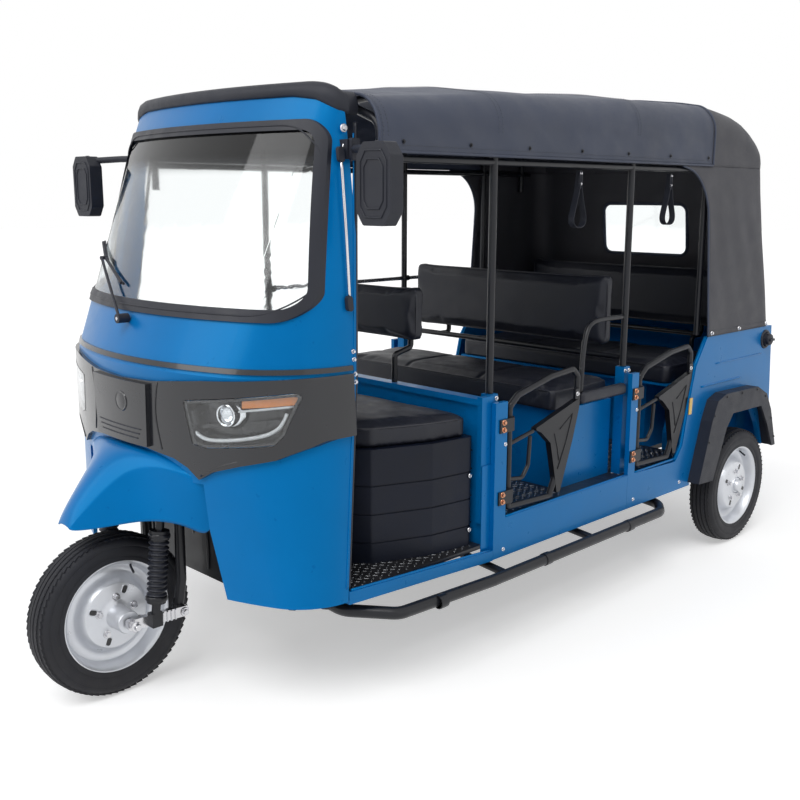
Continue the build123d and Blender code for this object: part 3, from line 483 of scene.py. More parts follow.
def make_tread():
    """Rubber blocks round a wheel: the given point's facing is the axle."""
    tree, given, out = new_tree("tread", GEO_TREE, [
        ("Geometry", GEOMETRY, None), ("Count", INTEGER, 60), ("Ring Radius", FLOAT, 0.246), ("Across",
                FLOAT, 0.0),
        ("Block Width", FLOAT, 0.02), ("Block Length", FLOAT, 0.018), ("Block Height", FLOAT,
                0.006), ("Slant", FLOAT, 0.3),
        ("Start", FLOAT, 0.0), ("Material", MATERIAL, None)], [("Geometry", GEOMETRY)])
    ring = add(tree, "GeometryNodeMeshCircle", {"Vertices": given["Count"], "Radius": given["Ring Radius"]})
    place = add(tree, "GeometryNodeInputPosition").outputs[0]
    radial = add(tree, "FunctionNodeAlignRotationToVector", {"Vector": place}, axis="Z")
    level = add(tree, "FunctionNodeAlignRotationToVector", {"Rotation": radial.outputs[0], "Vector": (0, 0,
            1)}, axis="X", pivot_axis="Z")
    slant = add(tree, "FunctionNodeAxisAngleToRotation", {"Axis": (0, 0, 1), "Angle": given["Slant"]})
    turned = add(tree, "FunctionNodeRotateRotation",
            {"Rotation": level.outputs[0], "Rotate By": slant.outputs[0]}, rotation_space="LOCAL")
    size = add(tree, "ShaderNodeCombineXYZ", {"X": given["Block Width"], "Y": given["Block Length"],
            "Z": given["Block Height"]})
    block = add(tree, "GeometryNodeMeshCube", {"Size": size.outputs[0]})
    blocks = add(tree, "GeometryNodeInstanceOnPoints",
            {"Points": ring.outputs[0], "Instance": block.outputs["Mesh"],
                 "Rotation": turned.outputs[0]})
    shift = add(tree, "ShaderNodeCombineXYZ", {"Z": given["Across"]})
    spin = add(tree, "ShaderNodeCombineXYZ", {"Z": given["Start"]})
    moved = add(tree, "GeometryNodeTransform",
            {"Geometry": blocks.outputs[0], "Translation": shift.outputs[0], "Rotation": spin.outputs[0]})
    facing = add(tree, "GeometryNodeInputNamedAttribute", {"Name": "facing"},
            data_type="FLOAT_VECTOR").outputs["Attribute"]
    axle = add(tree, "FunctionNodeAlignRotationToVector", {"Vector": facing}, axis="Z")
    placed = add(tree, "GeometryNodeInstanceOnPoints",
            {"Points": given["Geometry"], "Instance": moved.outputs[0],
                 "Rotation": axle.outputs[0]})
    tree_end(tree, placed.outputs[0], given, out)
    return tree


FASTENERS, STITCHES, BELLOWS, TREAD = make_fasteners(), make_stitches(), make_bellows(), make_tread()


def bolts(name, places, facings, body=BODY, head=7, height=5, washer=11, sides=6, material=None,
        slot="bright_steel"):
    mesh = grown(name, places, [], FASTENERS, {"Head Radius": head / 1000, "Head Height": height / 1000,
                 "Washer Radius": washer / 1000, "Sides": sides,
                 "Material": material or FINISH["bright_steel"]},
                 {"facing": [tuple(f) for f in facings]})
    return make_object(name, mesh, None, slot, body, smooth=False)


def stitched(name, points, body=BODY, spacing=9, closed=False):
    edges = [(i, i + 1) for i in range(len(points) - 1)] + ([(len(points) - 1, 0)] if closed else [])
    mesh = grown(name, points, edges, STITCHES, {"Spacing": spacing / 1000, "Material": THREAD})
    return make_object(name, mesh, None, "seat_vinyl", body)


# ------------------------------------------------------------------ padded pieces

PAD_VOXEL = 0.008


def cad_copy(node):
    mesh = NODES[node].data.copy()
    work = bmesh.new()
    work.from_mesh(mesh)
    bmesh.ops.remove_doubles(work, verts=work.verts, dist=1e-5)
    bmesh.ops.recalc_face_normals(work, faces=work.faces)
    work.to_mesh(mesh)
    work.free()
    return mesh


def evaluated(obj):
    dg = bpy.context.evaluated_depsgraph_get()
    return bpy.data.meshes.new_from_object(obj.evaluated_get(dg))


def points_of(mesh):
    co = np.empty(len(mesh.vertices) * 3)
    mesh.vertices.foreach_get("co", co)
    return co.reshape(-1, 3)


def set_points(mesh, co):
    mesh.vertices.foreach_set("co", co.ravel())
    mesh.update()


def swell(mesh, cap, pressure=4.0, voxel=PAD_VOXEL):
    """Remesh a closed pad and let cloth pressure round it, moving no point more than the cap."""
    temp = bpy.data.objects.new("swelling", mesh)
    bpy.context.scene.collection.objects.link(temp)
    remesh = temp.modifiers.new("remesh", "REMESH")
    remesh.mode = "VOXEL"
    remesh.voxel_size = voxel
    fine = evaluated(temp)
    temp.modifiers.clear()
    temp.data = fine
    rest = points_of(fine)
    cloth = temp.modifiers.new("cloth", "CLOTH")
    cloth.settings.use_pressure = True
    cloth.settings.uniform_pressure_force = pressure
    cloth.settings.effector_weights.gravity = 0
    cloth.settings.quality = 4
    cloth.point_cache.frame_start = 1
    cloth.point_cache.frame_end = 20
    scene = bpy.context.scene
    for number in range(1, 21):
        scene.frame_set(number)
    done = evaluated(temp)
    moved = points_of(done) - rest
    size = np.linalg.norm(moved, axis=1, keepdims=True)
    moved *= np.minimum(1, cap / np.maximum(size, 1e-9))
    temp.modifiers.clear()
    set_points(fine, rest + moved)
    scene.frame_set(1)
    bpy.data.objects.remove(temp)
    return fine


def pad(name, node, crown=0.010, shrink=0.010, flat_side=None, channels=(), channel_axis=0, face_axis=2,
        face_sign=1,
        piping=(), material="seat_vinyl"):
    """A stuffed seat piece in the room its CAD solid holds."""
    low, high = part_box(node)
    mesh = cad_copy(node)
    co = points_of(mesh)
    middle = np.array((low + high) / 2)
    half = np.array((high - low) / 2)
    scale = (half - shrink) / half
    if flat_side is not None:
        axis, sign = flat_side
        seat = middle[axis] + sign * half[axis]
    co = middle + (co - middle) * scale
    if flat_side is not None:
        co[:, axis] += sign * shrink
    set_points(mesh, co)
    mesh = swell(mesh, cap=shrink + 0.004)
    co = points_of(mesh)
    rel = (co - middle) / half
    # the middle of the sitting face stands a little proud
    others = [a for a in range(3) if a != face_axis]
    dome = np.clip(1 - rel[:, others[0]] ** 4, 0, 1) * np.clip(1 - rel[:, others[1]] ** 4, 0, 1)
    on_face = np.clip(rel[:, face_axis] * face_sign, 0, 1) ** 2
    co[:, face_axis] += face_sign * crown * dome * on_face
    for where in channels:
        away = co[:, channel_axis] - where
        co[:, face_axis] -= face_sign * 0.007 * np.exp(-(away / 0.008) ** 2) * np.clip(rel[:,
                face_axis] * face_sign * 3 - 1, 0, 1)
    ripple = np.sin(co[:, 0] * 31 + 2 * np.sin(co[:, 1] * 17)) * np.sin(co[:, 1] * 27 + co[:, 2] * 13)
    co[:, face_axis] += face_sign * 0.0012 * ripple * on_face
    if flat_side is not None:
        co[:, axis] = np.minimum(co[:, axis], seat) if sign > 0 else np.maximum(co[:, axis], seat)
    low_limit = np.array(low) - 0.003
    high_limit = np.array(high) + 0.006
    if face_sign > 0:
        high_limit[face_axis] = high[face_axis] + crown
    else:
        low_limit[face_axis] = low[face_axis] - crown
    co = np.clip(co, low_limit, high_limit)
    set_points(mesh, co)
    made = make_object(name, mesh, FINISH[material], material)
    fine = made.modifiers.new("subdivision", "SUBSURF")
    fine.levels = fine.render_levels = 1
    made.data = evaluated(made)
    made.modifiers.clear()
    made.data.materials.clear()
    made.data.materials.append(FINISH[material])
    made.data.shade_smooth()
    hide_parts(node)
    tree = BVHTree.FromPolygons([v.co for v in made.data.vertices], [p.vertices for p in made.data.polygons])
    for number, path in enumerate(piping):
        snapped = []
        for p in path:
            spot, normal, _, _ = tree.find_nearest(p)
            snapped.append(spot + normal * 0.001)
        snapped = even(snapped)
        make_object(f"{name}_piping_{number + 1}", tube_mesh(f"{name}_piping_{number + 1}", snapped, 3.4,
                closed=True, sides=3), PIPING, "seat_vinyl")
    return made, tree


def even(points, passes=2):
    """Smooth a closed run of points a little."""
    for _ in range(passes):
        points = [(points[i - 1] + points[i] * 2 + points[(i + 1) % len(points)]) / 4
                  for i in range(len(points))]
    return points


def box_loop(node, axis, sign, inset=0.004, step=0.03, plan=None):
    """A loop round the box of a node, just inside its face on the given axis."""
    low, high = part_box(node)
    a, b = [i for i in range(3) if i != axis]
    level = (high[axis] - inset * 2) if sign > 0 else (low[axis] + inset * 2)
    ring = [(low[a], low[b]), (high[a], low[b]), (high[a], high[b]),
            (low[a], high[b])] if plan is None else plan
    path = []
    for i, (u0, v0) in enumerate(ring):
        u1, v1 = ring[(i + 1) % len(ring)]
        count = max(2, int(math.hypot(u1 - u0, v1 - v0) / step))
        for k in range(count):
            t = k / count
            p = Vector((0, 0, 0))
            p[a], p[b], p[axis] = u0 + (u1 - u0) * t, v0 + (v1 - v0) * t, level
            path.append(p)
    return path


DRIVER_PLAN = [(-596, 968), (596, 968), (574, 800), (500, 612), (400, 530), (-400, 530), (-500, 612),
        (-574, 800)]
driver_plan = [tuple(at(x, y, 0)[:2]) for x, y in DRIVER_PLAN]

pad("driver_seat_cushion", "driver_cushion", flat_side=(2, -1),
        piping=[box_loop("driver_cushion", 2, 1, plan=driver_plan)])
pad("driver_back_pad", "driver_backrest", crown=0.008, flat_side=None, face_axis=1, face_sign=-1,
        piping=[box_loop("driver_backrest", 1, -1)])
pad("middle_bench_cushion", "middle_cushion", flat_side=(2, -1), channels=(-0.19, 0.19),
        piping=[box_loop("middle_cushion", 2, 1)])
pad("middle_back_pad", "middle_backrest", crown=0.008, face_axis=1, face_sign=-1,
        piping=[box_loop("middle_backrest", 1, -1)])
pad("rear_bench_cushion", "rear_cushion", flat_side=(2, -1), channels=(-0.19, 0.19),
        piping=[box_loop("rear_cushion", 2, 1)])
pad("rear_back_pad", "rear_backrest", crown=0.008, face_axis=1, face_sign=-1,
        piping=[box_loop("rear_backrest", 1, -1)])


# ------------------------------------------------------------------ canopy

def rounded(half_u, half_v, corner, steps=5, centre=(0, 0)):
    points = []
    for su, sv, start in ((1, 1, 0), (-1, 1, 90), (-1, -1, 180), (1, -1, 270)):
        for i in range(steps + 1):
            a = math.radians(start + 90 * i / steps)
            points.append((centre[0] + su * (half_u - corner) + corner * math.cos(a),
                    centre[1] + sv * (half_v - corner) + corner * math.sin(a)))
    return points


CANOPY = ((545, 1800), (1200, 1852), (2100, 1880), (2355, 1880), (2500, 1869), (2640, 1840), (2740, 1794),
        (2812, 1735))
CAD_REAR_BOW = 2640         # its bow follows the cloth down
CANOPY_EDGE = 1600
CANOPY_HALF = 605
CROWN_DROP = 52
BOWS = (572, 1055, 1821, 2355, 2640)


def roof_line(y):
    for (y0, z0), (y1, z1) in zip(CANOPY, CANOPY[1:]):
        if y <= y1:
            t = (y - y0) / (y1 - y0)
            return z0 + (z1 - z0) * t
    return CANOPY[-1][1]


def roof_smooth(y):
    """The crown's line with its corners eased."""
    spread = (-60, -30, 0, 30, 60)
    return sum(roof_line(min(max(y + s, CANOPY[0][0]), CANOPY[-1][0])) for s in spread) / len(spread)


def canopy_across(y, count):
    """Points (x, z) of one section from the left edge over the crown to the right edge."""
    crown = roof_smooth(min(y, CANOPY[-1][0]))
    shoulder = crown - CROWN_DROP
    corner = min(95, shoulder - CANOPY_EDGE - 6)
    half = CANOPY_HALF
    if y > 2743:
        half += math.sqrt(max(0, 85 ** 2 - min(y - 2743, 84) ** 2)) - 85
    row = []
    for i in range(count):
        u = 2 * i / (count - 1) - 1
        side = 1 if u >= 0 else -1
        a = abs(u)
        if a > 0.80:
            t = (a - 0.80) / 0.20
            x, z = half, shoulder - corner + (CANOPY_EDGE - shoulder + corner) * t
        elif a > 0.62:
            t = (a - 0.62) / 0.18 * math.pi / 2
            x = half - corner + corner * math.sin(t)
            z = shoulder - corner + corner * math.cos(t) + 8 * math.cos(t) ** 2
        else:
            t = a / 0.62
            x = (half - corner) * t
            z = shoulder + 8 + (CROWN_DROP - 8) * (1 - t * t)
        row.append((side * x, z))
    return row


def canopy_cover():
    across, along = 97, 160
    points, faces = [], []
    y0, y1 = CANOPY[0][0], CANOPY[-1][0]
    closing = 12                # rows that turn down to close the back
    for j in range(along):
        y = y0 + (y1 - y0) * min(1, j / (along - 1 - closing))
        turned_down = max(0, j - (along - 1 - closing)) / closing
        top = CANOPY[-1][1] - (CANOPY[-1][1] - CANOPY_EDGE + 9) * turned_down
        near = min(abs(y - b) for b in BOWS)
        sag = 7 * (1 - math.exp(-(near / 120) ** 2))
        for i, (x, z) in enumerate(canopy_across(y, across)):
            flat = max(0, 1 - (abs(x) / CANOPY_HALF) ** 6) * (1 - turned_down)
            wave = 1.6 * math.sin(x / 47 + 2 * math.sin(y / 210)) * math.sin(y / 90 + x / 130)
            side_wave = 2.2 * math.sin(y / 60 + z / 40) * (1 if z < 1700 else 0.3) * (1 if y < 2300 else 0.25)
            drop = (sag + wave) * flat
            px = x - math.copysign(abs(side_wave) * (1 if abs(x) > 500 else 0), x)
            if turned_down:
                z = min(z, top)
            points.append(at(px, y + 9 * turned_down ** 0.6, z - drop - 1))
    for j in range(along - 1):
        for i in range(across - 1):
            a = j * across + i
            faces.append((a, a + 1, a + across + 1, a + across))
    mesh = mesh_of("canopy_cover", points, faces)
    cover = make_object("canopy_cover", mesh, *of("canopy_cloth"))
    cover.data.materials.append(CURTAIN_CLOTH)
    for face in cover.data.polygons:
        if face.center.y > (BOWS[3] - AXLE_AHEAD) / 1000:
            face.material_index = 1
    thick = cover.modifiers.new("cloth_thickness", "SOLIDIFY")
    thick.thickness = 0.004
    thick.offset = -1
    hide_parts("canopy_top")
    row = canopy_across(1500, across)
    return cover


cover = canopy_cover()


def hem_line(side, drop=14, count=90):
    """Along the canopy's lower edge, just outside the cloth."""
    y0, y1 = CANOPY[0][0] + 12, BOWS[3]
    return [at(side * (CANOPY_HALF + 1.2), y0 + (y1 - y0) * i / (count - 1),
            CANOPY_EDGE + drop) for i in range(count)]


def canopy_trim():
    bvh = BVHTree.FromPolygons([v.co for v in cover.data.vertices], [p.vertices for p in cover.data.polygons])

    def settle(points, lift=0.0012):
        return [spot + normal * lift for spot, normal, _, _ in (bvh.find_nearest(p) for p in points)]

    for side, label in SIDES:
        edge = settle(hem_line(side, 2))
        make_object(f"canopy_hem_{label}", tube_mesh(f"canopy_hem_{label}", edge, 4.2, sides=3),
                *of("canopy_cloth"))
        stitched(f"canopy_hem_stitch_{label}", settle(hem_line(side, 20)), spacing=10)
        places = settle([at(side * CANOPY_HALF, y, CANOPY_EDGE + 30) for y in range(640, 2340, 280)])
        bolts(f"canopy_snaps_{label}", places, [(side, 0, 0)] * len(places), head=4, height=4, washer=6.5,
                sides=16, material=FINISH["dark_paint"])
        bow = settle([at(side * x, BOWS[3] + 4, z + 4) for x, z in canopy_across(BOWS[3], 161)[80:]])
        make_object(f"canopy_bow_binding_{label}", tube_mesh(f"canopy_bow_binding_{label}", bow, 5.0,
                sides=3), *of("canopy_cloth"))
    for number, y in enumerate((572, 1055, 1821, 2355, 2640)):
        for shift in (-9, 9):
            row = [at(x, y + shift, z + 4) for x, z in canopy_across(y, 81)[6:-6]]
            stitched(f"canopy_seam_{number + 1}_{'front' if shift < 0 else 'rear'}", settle(row), spacing=11)
    for y, label in ((CANOPY[0][0] + 3, "front"),):
        row = settle([at(x, y, z + 4) for x, z in canopy_across(y, 81)], 0.001)
        make_object(f"canopy_binding_{label}", tube_mesh(f"canopy_binding_{label}", row, 4.0, sides=3),
                *of("canopy_cloth"))


canopy_trim()

CURTAIN_Y, CURTAIN_LOW, CURTAIN_HIGH = 2335, 927, 1599
CURTAIN_CORNER = 85
WINDOW_HALF, WINDOW_LOW, WINDOW_HIGH = 225, 1212, 1448


def curtain_row(z, shifts):
    """Points round the back at one height: shifts run 0 to 1 from the left front edge to the right one."""
    t = (z - CURTAIN_LOW) / (CURTAIN_HIGH - CURTAIN_LOW)
    half, rear = 648 + (CANOPY_HALF - 648) * t, 2910 + (2828 - 2910) * t
    front = CURTAIN_Y if z < 1400 else 2140 + math.sqrt(max(0, 195 ** 2 - (z - 1400) ** 2))
    r = CURTAIN_CORNER
    runs = (rear - r - front, math.pi * r / 2, 2 * (half - r), math.pi * r / 2, rear - r - front)
    marks = (0, 0.22, 0.27, 0.73, 0.78, 1)
    row = []
    for u in shifts:
        k = max(i for i in range(5) if marks[i] <= u + 1e-9) if u < 1 else 4
        v = (u - marks[k]) / (marks[k + 1] - marks[k]) if u < 1 else 1.0
        if k == 0:
            p, n = (half, front + runs[0] * v), (1, 0)
        elif k == 1:
            a = v * math.pi / 2
            p, n = (half - r + r * math.cos(a), rear - r + r * math.sin(a)), (math.cos(a), math.sin(a))
        elif k == 2:
            p, n = ((half - r) * (1 - 2 * v), rear), (0, 1)
        elif k == 3:
            a = v * math.pi / 2
            p, n = (-half + r - r * math.sin(a), rear - r + r * math.cos(a)), (-math.sin(a), math.cos(a))
        else:
            p, n = (-half, rear - r - runs[4] * v), (-1, 0)
        row.append((p, n))
    return row


def curtain_shifts():
    """Steps round the back that put a grid line on each side of the window."""
    def across(x, z=1330):
        t = (z - CURTAIN_LOW) / (CURTAIN_HIGH - CURTAIN_LOW)
        half = 648 + (CANOPY_HALF - 648) * t
        return 0.27 + 0.46 * (1 - x / (half - CURTAIN_CORNER)) / 2
    first, last = across(WINDOW_HALF), across(-WINDOW_HALF)
    parts = [np.linspace(0, 0.22, 25)[:-1], np.linspace(0.22, 0.27, 9)[:-1],
            np.linspace(0.27, first, 18)[:-1],
             np.linspace(first, last, 41)[:-1], np.linspace(last, 0.73, 18)[:-1], np.linspace(0.73, 0.78,
                     9)[:-1], np.linspace(0.78, 1, 25)]
    return [float(v) for v in np.concatenate(parts)], (24 + 8 + 17, 24 + 8 + 17 + 40)


def canopy_curtain():
    shifts, (gap0, gap1) = curtain_shifts()
    levels = list(np.linspace(CURTAIN_LOW, WINDOW_LOW, 23)[:-1]) + list(np.linspace(WINDOW_LOW, WINDOW_HIGH,
            19)[:-1]) + list(np.linspace(WINDOW_HIGH, CURTAIN_HIGH, 15))
    columns = len(shifts)
    points, faces, area = [], [], 0.0
    for j, z in enumerate(levels):
        rise = math.sin(math.pi * (z - CURTAIN_LOW) / (CURTAIN_HIGH - CURTAIN_LOW))
        for i, ((x, y), (nx, ny)) in enumerate(curtain_row(z, shifts)):
            u = shifts[i]
            fold = rise * (1.6 * math.sin(u * 96 + z / 95) + 1.0 * math.sin(u * 41 - z / 140))
            near = max(0.0, 1 - abs(min(u, 1 - u)) / 0.02)
            push = -4 + 3 * max(0, (z - 1500) / 99) + fold * (1 - 0.6 * near)
            points.append(at(x + nx * push, y + ny * push, z))
    for j in range(len(levels) - 1):
        for i in range(columns - 1):
            a = j * columns + i
            if gap0 <= i < gap1 and 22 <= j < 22 + 18:
                middle = (points[a] + points[a + columns + 1]) / 2
                dx = abs(middle.x) * 1000 - (WINDOW_HALF - 40)
                centre_z, half_z = (WINDOW_LOW + WINDOW_HIGH) / 2, (WINDOW_HIGH - WINDOW_LOW) / 2
                dz = abs(middle.z * 1000 - centre_z) - (half_z - 40)
                if dx <= 0 or dz <= 0 or math.hypot(dx, dz) < 40:
                    continue
            faces.append((a, a + 1, a + columns + 1, a + columns))
    mesh = mesh_of("canopy_curtain", points, faces)
    area = sum(p.area for p in mesh.polygons)
    curtain = make_object("canopy_curtain", mesh, CURTAIN_CLOTH, "canopy_cloth")
    thick = curtain.modifiers.new("cloth_thickness", "SOLIDIFY")
    thick.thickness = 0.004
    thick.offset = -1
    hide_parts("canopy_back")
    ring = []
    for x, z in rounded(WINDOW_HALF + 1, (WINDOW_HIGH - WINDOW_LOW) / 2 + 1, 41, steps=6):
        z += (WINDOW_HIGH + WINDOW_LOW) / 2
        k = (z - CURTAIN_LOW) / (CURTAIN_HIGH - CURTAIN_LOW)
        ring.append(at(x, 2910 - 82 * k - 2.5, z))
    ring = even(ring, 0)
    make_object("rear_window_binding", tube_mesh("rear_window_binding", ring, 8.5, closed=True, sides=3),
            *of("canopy_cloth"))
    wide = [p + Vector((math.copysign(0.012, p.x), 0.0012, math.copysign(0.012, p.z - 1.33))) for p in ring]
    stitched("rear_window_stitches", wide, spacing=9, closed=True)
    for label, u0 in (("left", 0.0), ("right", 1.0)):
        edge = []
        for z in np.linspace(CURTAIN_LOW + 2, CURTAIN_HIGH - 2, 60):
            (x, y), (nx, ny) = curtain_row(z, [u0])[0]
            edge.append(at(x - nx * 4, y, z))
        make_object(f"curtain_edge_{label}", tube_mesh(f"curtain_edge_{label}", edge, 4.5, sides=3),
                *of("canopy_cloth"))
    low = []
    for (x, y), (nx, ny) in curtain_row(CURTAIN_LOW + 22, [i / 160 for i in range(161)]):
        low.append(at(x - nx * 2.6, y - ny * 2.6, CURTAIN_LOW + 22))
    stitched("curtain_hem_stitch", low, spacing=10)
    spots, ways = [], []
    for u in (0.012, 0.115, 0.225, 0.34, 0.42, 0.5, 0.58, 0.66, 0.775, 0.885, 0.988):
        (x, y), (nx, ny) = curtain_row(CURTAIN_LOW + 13, [u])[0]
        spots.append(at(x - nx * 2.5, y - ny * 2.5, CURTAIN_LOW + 13))
        ways.append((nx, ny, 0))
    bolts("curtain_snaps", spots, ways, head=6.5, height=6, washer=9, sides=16)


canopy_curtain()


# ------------------------------------------------------------------ wheels

TYRE_PROFILE = [(170, -44), (172, -48), (180, -50), (186, -48.5), (190, -50.5), (200, -52), (212, -52),
        (216, -50.6), (220, -52),
                (228, -50), (236, -44), (243, -34), (245, -31), (241.5, -29.5), (241.5, -26.5), (246,
                        -25), (247.5, -12),
                (243.5, -10.5), (243.5, -7.5), (248, -6), (248.4, 0)]
TYRE_PROFILE += [(r, -w) for r, w in reversed(TYRE_PROFILE[:-1])]

WHEELS = (
    ("front", "front_wheel", 0, 0, "front_tyre"),
    ("rear_left", "rear_left_wheel", HALF_TRACK, WHEELBASE, "rear_left_tyre"),
    ("rear_right", "rear_right_wheel", -HALF_TRACK, WHEELBASE, "rear_right_tyre"),
)


def tyre(label, body, x, y, node):
    centre = at(x, y, 250)
    closed = TYRE_PROFILE + [TYRE_PROFILE[0]]
    made = make_object(f"{label}_tyre_casing", revolve(f"{label}_tyre_casing", closed, centre, (1, 0, 0),
            128), *of("tyre"), body)
    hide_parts(node)
    for number, (across, slant, start) in enumerate(((36, 0.35, 0), (-36, -0.35, 0.03), (18.5, -0.5, 0.02),
            (-18.5, 0.5, 0.05))):
        mesh = grown("tread", [centre], [], TREAD,
                {"Count": 72, "Ring Radius": 0.2405 if abs(across) > 30 else 0.2445,
                     "Across": across / 1000, "Block Width": 0.013 if abs(across) > 30 else 0.011,
                     "Block Length": 0.0185,
                     "Block Height": 0.0045, "Slant": slant, "Start": start,
                     "Material": FINISH["tyre"]}, {"facing": [(1, 0, 0)]})
        make_object(f"{label}_tread_{number + 1}", mesh, None, "tyre", body, smooth=False)


for row in WHEELS:
    tyre(*row)


# ------------------------------------------------------------------ shaped small pieces

def slab(name, outline, place, out, thick, material, slot, bevel=2.0, body=BODY, smooth=True):
    """A plate with eased edges: an outline in mm laid by `place(u, v)` and raised along `out`."""
    out = Vector(out).normalized()
    work = bmesh.new()
    ring = [work.verts.new(place(u, v)) for u, v in outline]
    face = work.faces.new(ring)
    raised = bmesh.ops.extrude_face_region(work, geom=[face])
    for item in raised["geom"]:
        if isinstance(item, bmesh.types.BMVert):
            item.co += out * (thick / 1000)
    bmesh.ops.recalc_face_normals(work, faces=work.faces)
    if bevel:
        bmesh.ops.bevel(work, geom=list(work.edges), offset=bevel / 1000, segments=2, affect="EDGES",
                clamp_overlap=True)
    mesh = bpy.data.meshes.new(name)
    work.to_mesh(mesh)
    work.free()
    made = make_object(name, sharpen(mesh, 40), material, slot, body, smooth)
    return made


def pipe(name, points, radius, material="dark_paint", body=BODY, closed=False, bend=True, slot=None):
    return make_object(name, tube_mesh(name, points, radius, closed=closed, sides=4, smooth_path=bend),
            FINISH[material] if isinstance(material, str) else material,
                       slot or (material if isinstance(material, str) else "dark_paint"), body)


def turned(name, profile, centre, axis, material, slot, body=BODY, steps=48):
    return make_object(name, revolve(name, profile, centre, axis, steps), material, slot, body)


# ------------------------------------------------------------------ nose

NOSE = ((360, 92, 640, 390, 1200, 190), (1000, 80, 602, 460, 1100, 320), (1800, 408, 512, 545, 1600, 64))


def nose_row(z):
    low, high = (NOSE[0], NOSE[1]) if z <= NOSE[1][0] else (NOSE[1], NOSE[2])
    t = (z - low[0]) / (high[0] - low[0])
    return [a + t * (b - a) for a, b in zip(low[1:], high[1:])]


def nose_y(x, z):
    front, half, _, bow, corner = nose_row(z)
    inner, x = half - corner, min(abs(x), half)
    if x <= inner * bow / (bow - corner):
        return front + bow - math.sqrt(bow * bow - x * x)
    return front + bow - math.sqrt((bow - corner) ** 2 - inner * inner) - math.sqrt(max(0,
            corner * corner - (x - inner) ** 2))


def on_nose(x, z, behind=0.0):
    return at(x, nose_y(x, z) + behind, z)


def moved(name, node, move, finish_name, slot, body=BODY):
    """A copy of the node's own mesh with its points moved by `move(x, y, z)` in drawing millimetres."""
    mesh = NODES[node].data.copy()
    for v in mesh.vertices:
        x, y, z = move(v.co.x * 1000, v.co.y * 1000 + AXLE_AHEAD, v.co.z * 1000)
        v.co = at(x, y, z)
    made = make_object(name, mesh, FINISH[finish_name], slot, body, smooth=False)
    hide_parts(node)
    return made


HEADER_TOP = 1780


def header_line(x):
    """The header's top edge: level in the middle and falling away at its corners."""
    t = max(0, abs(x) - 400) / 112
    return HEADER_TOP - 34 * (1 - math.sqrt(max(0, 1 - min(t, 1) ** 2)))


def lower_header(x, y, z):
    if z < 1700:
        return x, y, z
    drop = (HEADER_TOP - header_line(x)) * (z - 1700) / 80
    half0, half1 = nose_row(z)[1], nose_row(z - drop)[1]
    return x * half1 / half0, y, z - drop


def visor():
    """A rolled brim round the header, with its ends turned down."""
    stations = list(np.linspace(-1, 1, 121))
    # how far out from the header's face, and the height above its lower edge (or below the top)
    section = ((-3, 0, 0), (4, -1, 0), (10, 3, 0), (13.5, 11, 0), (12, 0.55, 1), (6, 0.85, 1),
            (-4, 1.02, 1), (-22, 1.08, 1), (-40, 1.06, 1), (-40, 0.99, 1))
    points, faces = [], []
    for u in stations:
        a = abs(u)
        if a <= 0.86:
            x = 512 * math.sin(a / 0.86 * math.pi / 2) ** 0.92 if a else 0.0
            y, tail = nose_y(x, 1760), 0.0
        else:
            x, tail = 512, (a - 0.86) / 0.14
            y = nose_row(1760)[2] - 34 + 36 * tail
        low = 1750 - 12 * min(1, max(0, x - 380) / 72) - 38 * min(1, max(0, x - 452) / 60) ** 1.2
        top = header_line(min(x, 511)) + 8
        step = 2.0
        y0, y1 = nose_y(max(x - step, 0), 1760), nose_y(min(x + step, 511.9), 1760)
        n = Vector((y1 - y0, -(min(x + step, 511.9) - max(x - step, 0)),
                0)).normalized() if x < 505 else Vector((1, 0, 0))
        for off, rise, share in section:
            z = low + (top - low) * rise if share else low + rise
            px = x + n.x * off
            points.append(at(math.copysign(px, u), y + n.y * off, z))
    count = len(section)
    for j in range(len(stations) - 1):
        for i in range(count):
            a, b = j * count + i, j * count + (i + 1) % count
            faces.append((a, b, b + count, a + count))
    faces += [tuple(range(count)), tuple(reversed(range((len(stations) - 1) * count, len(stations) * count)))]
    made = make_object("roof_visor_moulding", sharpen(outward(mesh_of("roof_visor_moulding", points,
            faces)), 50), *of("grey_plastic"))
    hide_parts("roof_visor")


moved("nose_shell_panel", "front_cowl", lower_header, "body_paint", "body_paint")
visor()


def lower_bow(x, y, z):
    if y < CAD_REAR_BOW - 30 or z < CANOPY_EDGE:
        return x, y, z
    share = (z - CANOPY_EDGE) / (1874 - CANOPY_EDGE)
    return x, y, z - 38 * share


moved("roof_frame_tubes", "roof_frame", lower_bow, "dark_paint", "dark_paint")

def round_crown(x, y, z):
    """Takes the front corners off the fork's crown, so that they clear the fender at full lock."""
    if abs(x) > 165 and y < 90 and 555 < z < 595:
        return math.copysign(156, x), 87, z
    return x, y, z


moved("fork_with_crown", "steering_fork", round_crown, "dark_paint", "dark_paint", "steering")

# the fender's control rows: distance behind the axle, then (across, height) of the crown,
# facet, crease and lower edge
FENDER_CAGE = (
    (-131, (0, 557), (18, 556), (32, 552), (36, 548)),
    (-112, (0, 604), (26, 598), (46, 578), (58, 546)),
    (-35, (0, 696), (34, 688), (70, 658), (110, 556)),
    (35, (0, 762), (56, 755), (106, 716), (152, 566)),
    (78, (0, 767), (140, 762), (196, 728), (204, 566)),
    (118, (0, 766), (226, 758), (292, 708), (264, 556)),
    (166, (0, 762), (262, 752), (334, 676), (310, 512)),
)


